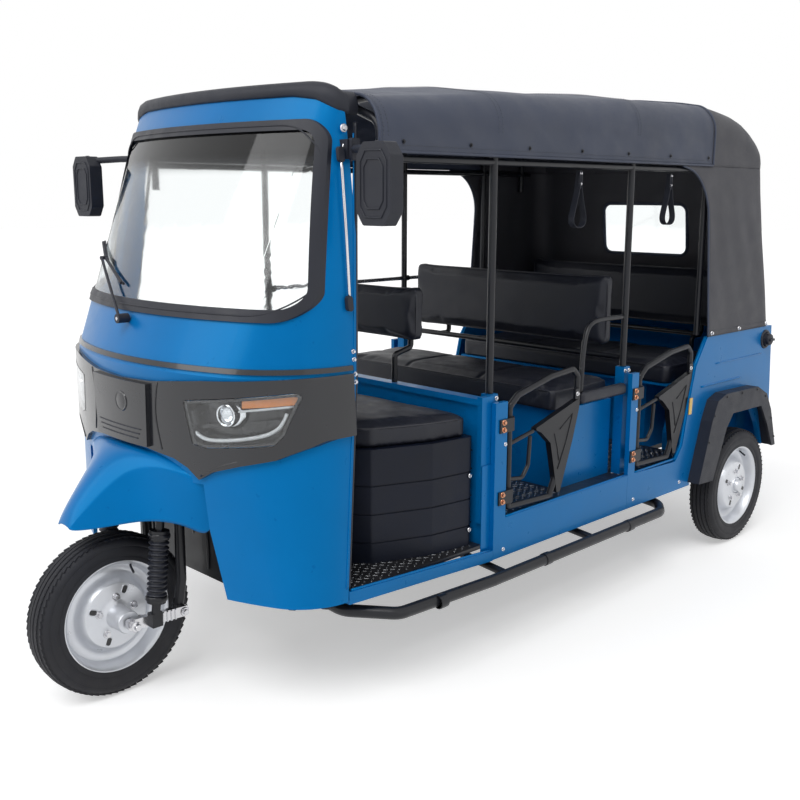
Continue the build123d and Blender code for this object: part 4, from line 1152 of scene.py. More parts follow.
def fender():
    points, faces = [], []
    for y, *half in FENDER_CAGE:
        across = [(-x, z) for x, z in reversed(half[1:])] + list(half)
        points += [at(x, y, z) for x, z in across]
    for j in range(len(FENDER_CAGE) - 1):
        for i in range(6):
            a = j * 7 + i
            faces.append((a, a + 1, a + 8, a + 7))
    mesh = outward(mesh_of("front_fender_panel", points, faces))
    crease = mesh.attributes.new("crease_edge", "FLOAT", "EDGE")
    for edge in mesh.edges:
        i, j = sorted(edge.vertices)
        if j - i == 7 and i % 7 in (1, 5):
            crease.data[edge.index].value = 0.55
    temp = bpy.data.objects.new("fender_cage", mesh)
    bpy.context.scene.collection.objects.link(temp)
    smooth = temp.modifiers.new("smooth", "SUBSURF")
    smooth.levels = smooth.render_levels = 4
    sheet = temp.modifiers.new("sheet", "SOLIDIFY")
    sheet.thickness, sheet.offset = 0.004, -1
    final = evaluated(temp)
    bpy.data.objects.remove(temp)
    made = make_object("front_fender_panel", final, *of("body_paint"))
    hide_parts("front_fender")


fender()

GUIDE_LINE = [(283, 892), (286, 868), (296, 842), (325, 824), (361, 820), (437, 830), (494, 843),
        (523, 858), (538, 880), (543, 908)]
GUIDE_TOP = [(440, 910), (475, 915), (509, 920), (553, 926)]
AMBER_SHAPE = [(446, 918), (446, 944), (505, 953), (561, 960), (557, 930), (505, 924)]
LAMP_EDGE = [(278, 929), (430, 948), (580, 967), (553, 848), (534, 821), (440, 809), (348, 798), (304, 808)]


def headlamp(side, label):
    def spot(x, z, behind):
        return on_nose(x, z, behind) if side > 0 else at(-x, nose_y(x, z) + behind, z)
    guide = [spot(x, z, 5) for x, z in GUIDE_LINE]
    pipe(f"{label}_lamp_light_guide", guide, 5.6, GUIDE, slot="lens")
    pipe(f"{label}_lamp_light_guide_top", [spot(x, z, 5) for x, z in GUIDE_TOP], 3.4, GUIDE, slot="lens")
    slab(f"{label}_lamp_indicator", AMBER_SHAPE, lambda u, v: spot(u, v, 12), (0, -1, 0), 5, AMBER, "lens",
            1.2)
    x, z = 400, 897
    centre = spot(x, z, 22)
    ahead = Vector((0.28 * side, -0.96, 0)).normalized()
    turned(f"{label}_lamp_ring", [(22, 0), (23, 12), (26, 20), (29, 22), (32, 20), (33, 8), (33, 0)],
            centre, ahead, CHROME, "bright_steel")
    turned(f"{label}_lamp_projector", [(0.1, 21), (8, 20), (14, 17), (19, 11), (22, 3), (22, 0)], centre,
            ahead, *of("lens"))
    turned(f"{label}_lamp_hood", [(33, 2), (37, 0), (41, -6), (44, -12), (41, -12), (33, -6), (33, 2)],
            centre, ahead, CHROME, "bright_steel")
    turned(f"{label}_lamp_bowl", [(0.1, -4), (14, -3), (21, 2), (22.5, 6), (22.5, -6), (0.1, -6)], centre,
            ahead, CHROME, "bright_steel")
    rim = [spot(x2, z2, -11.5) for x2, z2 in LAMP_EDGE]
    pipe(f"{label}_lamp_seal", rim, 2.0, "gloss_black", closed=True, bend=False)
    ribs = []
    for k in range(12):
        x2 = 300 + k * 21
        ribs.append((spot(x2, 846 + (x2 - 300) * 0.06, 30), spot(x2 + 4, 905 + (x2 - 300) * 0.10, 30)))
    for k, (a, b) in enumerate(ribs):
        if abs(300 + k * 21 - x) > 52:
            pipe(f"{label}_lamp_rib_{k + 1}", [a, (a + b) / 2, b], 1.6, "gloss_black", bend=False)
    slab(f"{label}_lamp_inner_step", [(305, 858), (310, 848), (520, 870), (528, 884), (520, 890)], lambda u,
            v: spot(u, v, 26), (0, -1, 0), 6, *of("gloss_black"), 1.5)


headlamp(1, "left")
headlamp(-1, "right")


def fascia_lines():
    """Pressed lines in the glossy band: along the middle panel and down its two sides."""
    for k, z in enumerate((824, 810, 796)):
        row = [on_nose(x, z, -25.4) for x in np.linspace(-118 + 8 * k, 118 - 8 * k, 15)]
        pipe(f"fascia_groove_{k + 1}", row, 1.7, "grey_plastic")
    for side, label in SIDES:
        edge = [on_nose(side * x, z, -13.5) for x, z in ((186, 968), (176, 930), (170, 880), (176, 830),
                (190, 775))]
        pipe(f"fascia_crease_{label}", edge, 2.2, "gloss_black")
        low = [on_nose(side * x, z, -13.2) for x, z in ((330, 718), (372, 748), (452, 775), (539, 798),
                (592, 826))]
        pipe(f"fascia_lower_bead_{label}", low, 2.6, "gloss_black")
    turned("fascia_blank_badge", [(0.1, 3), (22, 3), (24, 2.4), (26, 3.4), (29, 3.4), (31, 1), (31, -2),
            (0.1, -2)],
           on_nose(26, 897, -24), (0.02, -1, 0), *of("gloss_black"), steps=64)


fascia_lines()


def screen_trim():
    """Filler strip let into the gasket."""
    ring = []
    for (x0, z0), (x1, z1) in (((-490, 1165), (490, 1165)), ((552, 1225), (503, 1612)),
            ((435, 1672), (-435, 1672)), ((-503, 1612), (-552, 1225))):
        for k in range(17):
            ring.append((x0 + (x1 - x0) * k / 16, z0 + (z1 - z0) * k / 16))
    def mixed(*shares):
        """Each point of the ring as a mix of (neighbour, share) pairs, in quarters."""
        return [tuple(sum(ring[(i + step) % len(ring)][axis] * share for step, share in shares) / 4
                      for axis in (0, 1)) for i in range(len(ring))]

    cut = zip(mixed((-1, 1), (0, 3)), mixed((0, 3), (1, 1)))
    ring = [point for pair in cut for point in pair]
    for _ in range(2):
        ring = mixed((-1, 1), (0, 2), (1, 1))
    pipe("windscreen_filler_strip", [on_nose(x, z, -8.6) for x, z in ring], 2.2, "seal_rubber", closed=True)


screen_trim()


def pillar_fittings():
    for side, label in SIDES:
        def wall(y, z, off):
            return at(side * (nose_row(z)[1] + off), y, z)
        rail = [wall(461, 1580, 9), wall(458, 1470, 10), wall(455, 1340, 10), wall(450, 1210, 9)]
        pipe(f"pillar_handle_{label}", rail, 4.2, "bright_steel")
        for tip, (y, z) in (("upper", (461, 1592)), ("lower", (449, 1194))):
            slab(f"pillar_handle_{tip}_boss_{label}", rounded(10, 21, 9.5), lambda u, v, y=y,
                    z=z: at(side * (nose_row(z + v)[1] + 0.5), y + u, z + v),
                 (side, 0, 0), 13, *of("grey_plastic"), 3)
        spots = [wall(y, z, 0.6) for y, z in ((483, 1662), (484, 1612))]
        bolts(f"mirror_bolts_{label}", [p + Vector((side * 0.004, 0, 0)) for p in spots],
                [(side, 0, 0)] * 2, head=8, height=7, washer=12)
        rows = [wall(455, z, 0.6) for z in (1062, 1040, 1000, 978)]
        bolts(f"pillar_hinge_bolts_{label}", rows, [(side, 0, 0)] * 4, head=5, height=5, washer=7)
        seam = [at(side * (nose_row(z)[1] + 0.4), nose_row(z)[2] - 9, z) for z in range(400, 1700, 50)]
        pipe(f"pillar_flange_bead_{label}", seam, 2.4, "body_paint", slot="body_paint")
        edge = [at(side * (nose_row(z)[1] - 5), nose_row(z)[2] + 3.5, z) for z in range(400, 1720, 40)]
        pipe(f"door_edge_seal_{label}", edge, 5.5, "seal_rubber")


pillar_fittings()


def mirror_details():
    for side, label in SIDES:
        cx, cz = side * 756, 1512
        shape = [(-52, 60), (-32, 90), (32, 90), (52, 60), (52, -60), (32, -90), (-32, -90), (-52, -60)]
        slab(f"mirror_glass_{label}", shape, lambda u, v: at(cx + u, 425.2, cz + v), (0, 1, 0), 2.2, CHROME,
                "bright_steel", 0.8, smooth=False)
        rim = [at(cx + u * 1.12, 426, cz + v * 1.1) for u, v in shape]
        pipe(f"mirror_rim_{label}", rim, 3.2, "grey_plastic", closed=True, bend=False)
        for k, f in enumerate((0.92, 0.68)):
            ring = [at(cx + u * f, 380.6, cz + v * f) for u, v in shape]
            pipe(f"mirror_shell_rib_{label}_{k + 1}", ring, 2.6, "grey_plastic", closed=True, bend=False)
        turned(f"mirror_joint_{label}", [(0.1, 17), (9, 15), (14, 9), (16, 0), (14, -9), (10, -15),
                (0.1, -17)], at(side * 748, 404, 1602), (0.3 * side, 0, 1),
               *of("grey_plastic"))
        slab(f"mirror_clamp_{label}", rounded(16, 30, 8), lambda u, v: at(side * 551, 497 + u, 1606 + v),
                (side, 0, 0), 16, *of("grey_plastic"), 4)


mirror_details()


def wiper_rubber():
    line = [on_nose(x, z, -7.5) for x, z in ((-122, 1219), (-230, 1250), (-337, 1284), (-478, 1331))]
    pipe("wiper_rubber", line, 3.4, "seal_rubber")
    bolts("wiper_nut", [on_nose(-34, 1128, -36)], [(0, -1, 0)], head=7, height=6, washer=9)


wiper_rubber()


# ------------------------------------------------------------------ front fork, brakes and controls

def front_end():
    for side, label in SIDES:
        low, high = at(side * 150, 64, 262), at(side * 144, 98, 559)
        run = (high - low).normalized()
        mesh = grown(f"shock_boot_{label}", [low + run * 0.066, low + run * 0.236], [(0, 1)], BELLOWS,
                     {"Radius": 0.0268, "Rib Depth": 0.0034, "Ribs": 11.0, "Material": FINISH["seal_rubber"]})
        make_object(f"shock_boot_{label}", mesh, None, "seal_rubber", "steering")
        for tip, where in (("lower", 0.058), ("upper", 0.246)):
            turned(f"shock_collar_{tip}_{label}", [(14, -7), (30, -7), (32, -4), (32, 4), (30, 7), (14, 7),
                    (14, -7)], low + run * where, run, *of("dark_paint"), "steering")
        turned(f"shock_top_nut_{label}", [(0.1, 13), (6, 12), (8, 9), (8, 3), (11, 1), (11, -4), (0.1, -4)],
                high + run * 0.034, run, GUIDE, "bright_steel", "steering", steps=24)
        for k in range(4):
            y = 98 + k * 14
            slab(f"link_fin_{label}_{k + 1}", rounded(13, 17.5, 4), lambda u, v,
                    y=y: at(side * (123 + u), y, 248 - y * 0.05 + v), (0, 1, 0), 4, *of("bright_steel"), 1,
                    "steering")
        bolts(f"link_pivot_bolts_{label}", [at(side * 133, 174, 240), at(side * 133, 68, 252)],
                [(side, 0, 0)] * 2, body="steering", head=10, height=9, washer=14)
        turned(f"axle_nut_{label}", [(0.1, 14), (9, 13), (10, 10), (10, 2), (15, 0), (15, -2), (0.1, -2)],
                at(side * 150, 0, 250), (side, 0, 0), *of("bright_steel"), "steering", steps=24)
        slab(f"pivot_bracket_{label}", [(-14, 34), (16, 34), (20, 12), (20, -22), (-10, -22), (-16, -6)],
                lambda u, v: at(side * 88, 174 + u, 240 + v), (side, 0, 0), 7,
             *of("dark_paint"), 2, "steering")
    hand = 310 + 3.9
    for side, label in SIDES:
        a, b = at(side * 312, hand + 82, 1045), at(side * 200, hand + 61, 1052)
        run = (a - b).normalized()
        for k in range(7):
            spot = b + (a - b) * ((k + 0.8) / 8)
            turned(f"grip_rib_{label}_{k + 1}", [(15, -3), (17.6, -2), (18, 0), (17.6, 2), (15, 3)], spot,
                    run, *of("seal_rubber"), "steering", steps=28)
        turned(f"grip_end_{label}", [(0.1, 6), (12, 6), (18, 2), (18, -3), (12, -5)], a, run,
                *of("seal_rubber"), "steering", steps=28)
        turned(f"switch_cluster_{label}", [(12, -20), (22, -18), (25, -10), (25, 10), (22, 18), (12, 20)],
                b - run * 0.030, run, *of("grey_plastic"), "steering", steps=28)
        lever = [b - run * 0.02 + Vector((0, -0.022, 0.002)), b + run * 0.02 + Vector((0, -0.045, 0)),
                b + run * 0.07 + Vector((0, -0.050, -0.002)), b + run * 0.115 + Vector((0, -0.040, -0.004))]
        pipe(f"hand_lever_{label}", lever, 4.4, "bright_steel", "steering")
    turned("handlebar_clamp", [(0.1, 16), (20, 16), (27, 10), (27, -10), (20, -16), (0.1, -16)],
            at(0, 310.5, 1062), (0, 0.342, 0.94), *of("grey_plastic"), "steering", steps=32)


front_end()


def instruments():
    y = 189
    turned("speedometer_bezel", [(38, 0), (42, 0), (45, 3), (45, 9), (42, 12), (38, 10), (38, 0)],
            at(0, y - 1, 1010), (0, 1, 0), *of("gloss_black"))
    turned("speedometer_face", [(0.1, 2.0), (36, 2.0), (38.5, 2.4), (38.5, 0), (0.1, 0)], at(0, y, 1010),
            (0, 1, 0), *of("grey_plastic"))
    for k in range(11):
        a = math.radians(220 - 26 * k)
        p = [at(r * math.cos(a), y + 3.2, 1010 + r * math.sin(a)) for r in (27, 30.5, 34)]
        pipe(f"speedometer_mark_{k + 1}", p, 0.8, GUIDE, bend=False, slot="lens")
    pipe("speedometer_needle", [at(0, y + 4.4, 1010), at(-12, y + 4.4, 1001), at(-24, y + 4.4, 993)], 1.0,
            AMBER, bend=False, slot="red_lens")
    turned("ignition_lock", [(0.1, 8), (9, 8), (12, 5), (13, 0), (13, -3)], at(78, y, 968), (0, 1, 0),
            *of("bright_steel"), steps=24)
    for k, x in enumerate((-92, -74, -56)):
        slab(f"dash_switch_{k + 1}", rounded(7, 10, 2), lambda u, v, x=x: at(x + u, y - 1, 968 + v),
                (0, 1, 0), 7, *of("gloss_black"), 1.5)


instruments()


# ------------------------------------------------------------------ floor, sides and gates

def make_lozenges():
    """Raised lozenges on points; each point's facing gives its direction in plan."""
    tree, given, out = new_tree("lozenges", GEO_TREE, [
        ("Geometry", GEOMETRY, None), ("Length", FLOAT, 0.022), ("Width", FLOAT, 0.0065), ("Height", FLOAT,
                0.0022),
        ("Material", MATERIAL, None)], [("Geometry", GEOMETRY)])
    facing = add(tree, "GeometryNodeInputNamedAttribute", {"Name": "facing"},
            data_type="FLOAT_VECTOR").outputs["Attribute"]
    turn = add(tree, "FunctionNodeAlignRotationToVector", {"Vector": facing}, axis="X")
    dome = add(tree, "GeometryNodeMeshUVSphere", {"Segments": 8, "Rings": 4, "Radius": 0.5})
    size = add(tree, "ShaderNodeCombineXYZ",
            {"X": given["Length"], "Y": given["Width"], "Z": given["Height"]})
    placed = add(tree, "GeometryNodeInstanceOnPoints",
            {"Points": given["Geometry"], "Instance": dome.outputs["Mesh"],
                 "Rotation": turn.outputs[0], "Scale": size.outputs[0]})
    tree_end(tree, placed.outputs[0], given, out)
    return tree


LOZENGES = make_lozenges()
TREAD_STEEL = finish("worn_tread_steel", (0.34, 0.35, 0.37), shade=0.3, rough=0.25, metal=0.9, grain=300,
        bump=0.1)


def chequer_plate(name, x0, x1, y0, y1, z, pitch=24):
    points, facings = [], []
    row = 0
    y = y0
    while y <= y1:
        x = x0 + (row % 2) * pitch / 2
        column = 0
        while x <= x1:
            points.append(at(x, y, z))
            facings.append((0.7, 0.7 if (row + column) % 2 else -0.7, 0))
            x += pitch
            column += 1
        y += pitch * 0.75
        row += 1
    mesh = grown(name, points, [], LOZENGES, {"Material": TREAD_STEEL}, {"facing": facings})
    make_object(name, mesh, None, "floor_plate")


chequer_plate("tread_driver_floor", -600, 600, 372, 964, 377.6)
chequer_plate("tread_middle_floor", -605, 605, 1030, 1458, 448.6)
chequer_plate("tread_rear_floor", -605, 605, 1802, 2250, 448.6)

COPPER = finish("passivated_bolts", (0.55, 0.27, 0.16), shade=0.15, rough=0.3, metal=0.9)
GATE_PINS = (1055 + 22.5 + 30, 1821 + 22.5 + 30)


def gate_fittings():
    for label, body, pin in (("middle", "middle_gate", GATE_PINS[0]), ("rear", "rear_gate", GATE_PINS[1])):
        spots = [at(645.2, pin - y, z + dz) for z in (522, 762) for y, dz in ((52, 12), (52, -12))]
        bolts(f"{label}_gate_hinge_bolts", spots, [(1, 0, 0)] * 4, head=7, height=6, washer=10,
                material=COPPER)
        line = [at(633.4, pin + y, z) for y, z in ((262, 700), (332, 744), (300, 650), (256, 560))]
        pipe(f"{label}_gate_pressed_line", line, 2.2, "dark_paint", body, bend=False)
        line = [at(633.4, pin + y, z) for y, z in ((232, 690), (250, 640), (262, 590))]
        pipe(f"{label}_gate_pressed_line_2", line, 2.0, "dark_paint", body, bend=False)
        slab(f"{label}_gate_latch", rounded(13, 18, 4), lambda u, v: at(628, pin + 352 + u, 812 + v),
                (1, 0, 0), 10, *of("dark_paint"), 2, body)
        bolts(f"{label}_gate_latch_bolt", [at(638, pin + 352, 812)], [(1, 0, 0)], body=body, head=5.5,
                height=4, washer=8)
        for k, z in enumerate((497, 820)):
            turned(f"{label}_gate_pin_collar_{k + 1}", [(11, -5), (15, -4.5), (16, 0), (15, 4.5), (11, 5)],
                    at(622, pin, z), (0, 0, 1), *of("dark_paint"), body, steps=28)


gate_fittings()


def side_details():
    for side, label in SIDES:
        x = side * 640.3
        crease = [at(side * 640.6, y, 724) for y in (2312, 2400, 2500, 2600, 2640)]
        pipe(f"quarter_crease_{label}", crease, 3.6, "body_paint")
        crease = [at(side * 640.4, y, 808) for y in (2420, 2560, 2700, 2820)]
        pipe(f"quarter_upper_crease_{label}", crease, 2.6, "body_paint")
        slab(f"side_reflector_{label}", [(-13, -34), (9, -34), (13, 34), (-9, 34)], lambda u,
                v: at(x, 2232 + u, 656 + v), (side, 0, 0), 4, YELLOW, "lens", 1)
        bolts(f"flare_screws_{label}", [at(side * 692.2, y, z) for y, z in ((2312, 500), (2345, 606),
                (2440, 672), (2570, 671), (2706, 668), (2790, 628), (2858, 520), (2896, 430))],
              [(side, 0,
                      0)] * 8, head=4, height=3, washer=6, sides=16, material=FINISH["dark_paint"],
                      slot="dark_paint")
        bolts(f"seat_box_bolts_{label}", [at(side * 596.5, y, z) for y, z in ((950, 610), (950, 430))],
                [(side, 0, 0)] * 2, head=5, height=4, washer=8)
        bolts(f"post_foot_bolts_{label}", [at(side * 600.6, y + dy, 846) for y in (1055,
                1821) for dy in (-12, 12)], [(side, 0, 0)] * 4, head=5, height=4, washer=8)
        bolts(f"arch_screws_{label}", [at(side * 640.4, y, z) for y, z in ((2180, 350), (1842, 350),
                (1838, 700), (1070, 345), (1070, 700))],
              [(side, 0, 0)] * 5, head=4.5, height=3.5, washer=7)
        edge = [at(side * 631, y, z) for y, z in ((2143, 446), (2190, 500), (2222, 652), (2264, 816),
                (2338, 926))]
        pipe(f"rear_door_seal_{label}", edge, 4.5, "body_paint", bend=False)
    turned("filler_cap", [(0.1, 9), (19, 9), (23, 7), (25, 3), (25, 0), (0.1, 0)], at(660.5, 2850, 868),
            (1, 0, 0), *of("grey_plastic"))
    slab("filler_cap_grip", rounded(20, 5, 4), lambda u, v: at(669, 2850 + u, 868 + v), (1, 0, 0), 8,
            *of("grey_plastic"), 2)
    turned("filler_surround", [(31, -2), (31, 5), (34, 7), (40, 5), (42, 0), (42, -2)],
            at(640.2, 2850, 868), (1, 0, 0), *of("grey_plastic"))
    for k, y in enumerate((720, 1240, 1740)):
        turned(f"step_collar_{k + 1}", [(18.5, -16), (21.5, -15), (22, 0), (21.5, 15), (18.5, 16)],
                at(690.5, y, 281.5), (0, 1, 0), *of("dark_paint"))


side_details()


def under_nose():
    """The dark panel behind the front wheel, and brackets under the nose's corners."""
    low = [(-330, 505), (330, 505), (330, 330), (300, 302), (-300, 302), (-330, 330)]
    slab("splash_panel", low, lambda u, v: at(u, 304, v), (0, -1, 0), 4, *of("dark_paint"), 1.5)
    for k, x in enumerate((-240, -80, 80, 240)):
        pipe(f"splash_panel_rib_{k + 1}", [at(x, 299, 330), at(x, 299, 410), at(x, 299, 490)], 4,
                "dark_paint", bend=False)
    for side, label in SIDES:
        for k, (x, y) in enumerate(((500, 300), (560, 372))):
            slab(f"nose_bracket_{label}_{k + 1}", [(-26, 22), (26, 22), (20, -8), (6, -18), (-12, -14)],
                    lambda u, v: at(side * (x + u * 0.5), y + u, 336 + v), (side, 0, 0), 5,
                    *of("dark_paint"), 1.5)


under_nose()


def sill_trim():
    """Folded lips along the driver's sill and the cab floor, in body paint."""
    for side, label in SIDES:
        lip = [at(side * 634, y, 390 - (y - 395) * 0.058) for y in (405, 600, 800, 1012)]
        pipe(f"driver_sill_lip_{label}", lip, 4.2, "body_paint")
        lip = [at(side * 634, y, 453) for y in (1082, 1300, 1600, 1794)]
        pipe(f"middle_sill_lip_{label}", lip, 4.2, "body_paint")
        lip = [at(side * 634, y, 453) for y in (1848, 1960, 2060, 2136)]
        pipe(f"rear_sill_lip_{label}", lip, 4.2, "body_paint")


sill_trim()

for side, label in SIDES:
    slab(f"sill_joint_plate_{label}", [(976, 352), (1040, 352), (1040, 640), (976, 640)], lambda u,
            v: at(side * 621, u, v), (side, 0, 0), 3, *of("body_paint"), 0.8)


def seat_box_lines():
    """The moulded bands of the driver's seat box."""
    for k, z in enumerate((450, 540, 630, 690)):
        ring = []
        for (x0, y0), (x1, y1) in zip(DRIVER_PLAN[1:], DRIVER_PLAN[2:] + DRIVER_PLAN[:1]):
            for i in range(8):
                t = i / 8
                ring.append((x0 + (x1 - x0) * t, y0 + (y1 - y0) * t))
        path = [at(x * 0.986, 800 + (y - 800) * 0.986, z) for x, y in ring[:-8]]
        pipe(f"seat_box_band_{k + 1}", path, 3, "navy_lining", bend=False)


seat_box_lines()


# ------------------------------------------------------------------ arm rest

def arm_rest():
    rail = [at(581, 1806, 1046), at(580, 1740, 1047), at(580, 1655, 1048), at(580.5, 1600, 1038),
            at(583, 1572, 1005), at(592, 1546, 930), at(602, 1530, 880), at(607, 1518, 806)]
    piece = pipe("arm_rest_rail", rail, 9, "dark_paint")
    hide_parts("arm_rest")
    work = bmesh.new()
    bmesh.ops.create_cube(work, size=1.0)
    for v in work.verts:
        v.co = at(609 + v.co.x * 34, 1650 + v.co.y * 284, 784 + v.co.z * 42)
    bmesh.ops.bevel(work, geom=list(work.edges), offset=0.008, segments=2, affect="EDGES")
    mesh = bpy.data.meshes.new("arm_rest_pad")
    work.to_mesh(mesh)
    work.free()
    mesh = swell(mesh, cap=0.006, voxel=0.005)
    made = make_object("arm_rest_pad", mesh, *of("seat_vinyl"))
    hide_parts("arm_rest")


arm_rest()


# ------------------------------------------------------------------ rear end and underside

def rear_details():
    def back(x, z, off):
        y = 2950 - 45 * (z - 388) / (925 - 388)
        return at(x, y + off, z)
    hatch = [(-430, 470), (430, 470), (430, 850), (-430, 850)]
    path = []
    for i in range(4):
        (x0, z0), (x1, z1) = hatch[i], hatch[(i + 1) % 4]
        for k in range(10):
            t = k / 10
            path.append(back(x0 + (x1 - x0) * t, z0 + (z1 - z0) * t, 0.6))
    pipe("tail_hatch_seal", even(path, 1), 4.2, "seal_rubber", closed=True)
    slab("tail_hatch_latch", rounded(46, 15, 8), lambda u, v: back(u, 800 + v, 0.2), (0, 1, 0), 9,
            *of("grey_plastic"), 3)
    slab("number_plate_blank", rounded(150, 52, 8), lambda u, v: back(u, 640 + v, 0.4), (0, 1, 0), 4, GUIDE,
            "bright_steel", 1.2)
    bolts("number_plate_bolts", [back(x, 640, 5) for x in (-120, 120)], [(0, 1, 0)] * 2, head=4.5, height=4,
            washer=7)
    bolts("tail_hatch_hinge_bolts", [back(x, z, 0.6) for x in (-300, 300) for z in (868, 884)],
            [(0, 1, 0)] * 4, head=5, height=4, washer=8)
    for side, label in SIDES:
        slab(f"tail_lamp_amber_{label}", rounded(54, 18, 5), lambda u,
                v: at(side * 530 + u, 2966.2, 680 + v - 4), (0, 1, 0), 4.5, AMBER, "red_lens", 1.5)
        slab(f"tail_lamp_clear_{label}", rounded(54, 16, 5), lambda u,
                v: at(side * 530 + u, 2966.2, 580 + v), (0, 1, 0), 4.5, GUIDE, "lens", 1.5)
        for k in range(9):
            z = 604 + k * 6.5
            pipe(f"tail_lamp_flute_{label}_{k + 1}", [at(side * 530 - 52, 2967, z), at(side * 530, 2967, z),
                    at(side * 530 + 52, 2967, z)], 2.2, "red_lens")
        slab(f"tail_lamp_frame_{label}", rounded(63, 73, 8), lambda u, v: at(side * 530 + u, 2953, 630 + v),
                (0, 1, 0), 8, *of("gloss_black"), 2.5)
        for k in range(5):
            z = 298 + k * 5
            line = [at(side * 380, y, z + 40 * ((y - WHEELBASE) / 290) ** 2 + 4) for y in range(2330 + k * 30,
                    2931 - k * 30, 50)]
            pipe(f"leaf_edge_{label}_{k + 1}", [p + Vector((side * 0.0255, 0, -0.008)) for p in line], 1.5,
                    "dark_paint")
        for k, y in enumerate((2600, 2660)):
            loop = [at(side * 380 + 30, y, 325), at(side * 380 + 32, y, 250), at(side * 380 + 22, y, 215),
                    at(side * 380 - 22, y, 215), at(side * 380 - 32, y, 250), at(side * 380 - 30, y, 325)]
            pipe(f"spring_clip_{label}_{k + 1}", loop, 5, "dark_paint")
        turned(f"rear_drum_{label}", [(31, -42), (80, -42), (92, -36), (98, -24), (98, -2), (90, 6),
                (31, 8)], at(side * 556, WHEELBASE, WHEEL_Z), (side, 0, 0), *of("cast_iron"), steps=64)
        turned(f"rear_hub_cap_{label}", [(0.1, 20), (12, 19), (22, 15), (26, 8), (27, 0), (16, -2)],
                at(side * 664, WHEELBASE, WHEEL_Z), (side, 0, 0), *of("wheel_silver"),
               "rear_left_wheel" if side > 0 else "rear_right_wheel", steps=40)
    for k, y in enumerate((1500, 1940)):
        turned(f"silencer_band_{k + 1}", [(51, -9), (54, -8), (54, 8), (51, 9)], at(-455, y, 304),
                (0, 1, 0), *of("bright_steel"))


rear_details()


def pressed_wheel(label, body, x, y, side, node, hub_out, hub_in):
    """A pressed wheel: rolled lip, deep well, dished centre and a bored hub, turned about the axle."""
    bore = 14 if label == "front" else 17
    profile = [(164, -46), (172.5, -46), (172.5, -40), (167, -38), (163, -30), (163, 30), (166, 38),
            (172.5, 41), (172.5, 46), (168, 46), (163, 42), (160, 34), (157, 27),
               (154, 12), (150, 2), (140, -3), (128, -3), (118, 3), (111, 15), (105, 28), (99, 34), (92,
                       35.5), (58, 35.5), (46, 38), (38, 42), (36, 46), (35, hub_out - 6),
               (32, hub_out), (bore, hub_out), (bore, -hub_in), (32, -hub_in), (36, -hub_in + 6), (37,
                       8), (96, 6), (106, -6), (122, -12), (148, -12), (153, -34), (158, -42)]
    made = turned(f"{label}_pressed_wheel", profile + [profile[0]], at(x, y, 250), (side, 0, 0),
            *of("wheel_silver"), body, steps=96)
    sharpen(made.data, 32)
    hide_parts(node)
    # The slots through the disc are not cut: each is a thin dark patch laid on the disc face, painted shade
    # standing in for the shadowed opening, ringed by a silver lip.
    for k in range(4):
        a = math.radians(90 * k + 22)
        out, along = Vector((0, math.sin(a), math.cos(a))), Vector((0, math.cos(a), -math.sin(a)))
        centre = at(x + side * 35.3, y, 250) + out * 0.081
        slab(f"{label}_wheel_slot_{k + 1}", rounded(8, 12, 6), lambda u,
                v: centre + along * (u / 1000) + out * (v / 1000), (side, 0, 0), 0.9, FINISH["floor_plate"],
                "dark_paint", 0.3, body)
        pipe(f"{label}_wheel_slot_edge_{k + 1}", [centre + along * (u / 1000) + out * (v / 1000) for u,
                v in rounded(9, 13, 7)], 1.6, "wheel_silver", body, closed=True, bend=False)


pressed_wheel("front", "front_wheel", 0, 0, 1, "front_rim", 108, 108)
pressed_wheel("rear_left", "rear_left_wheel", HALF_TRACK, WHEELBASE, 1, "rear_left_rim", 44, 50)
pressed_wheel("rear_right", "rear_right_wheel", -HALF_TRACK, WHEELBASE, -1, "rear_right_rim", 44, 50)


def wheel_details():
    wheels = (("front", 0, 0, 1), ("rear_left", HALF_TRACK, WHEELBASE, 1),
              ("rear_right", -HALF_TRACK, WHEELBASE, -1))
    for label, x, y, side in wheels:
        body = f"{label}_wheel"
        face = x + side * 36
        spots = []
        for k in range(5):
            a = math.radians(72 * k)
            spots.append(at(face, y + 60 * math.sin(a), WHEEL_Z + 60 * math.cos(a)))
        bolts(f"{label}_wheel_nuts", spots, [(side, 0, 0)] * 5, body=body, head=9, height=11, washer=12)
        stem = at(x + side * 16, y, 250)
        a = math.radians(25)
        base = Vector((stem.x, stem.y + 0.152 * math.sin(a), stem.z + 0.152 * math.cos(a)))
        pipe(f"{label}_tyre_valve", [base, base + Vector((side * 0.014, -0.004, -0.008)),
                base + Vector((side * 0.030, -0.007, -0.014))], 3.6, "seal_rubber", body)


wheel_details()


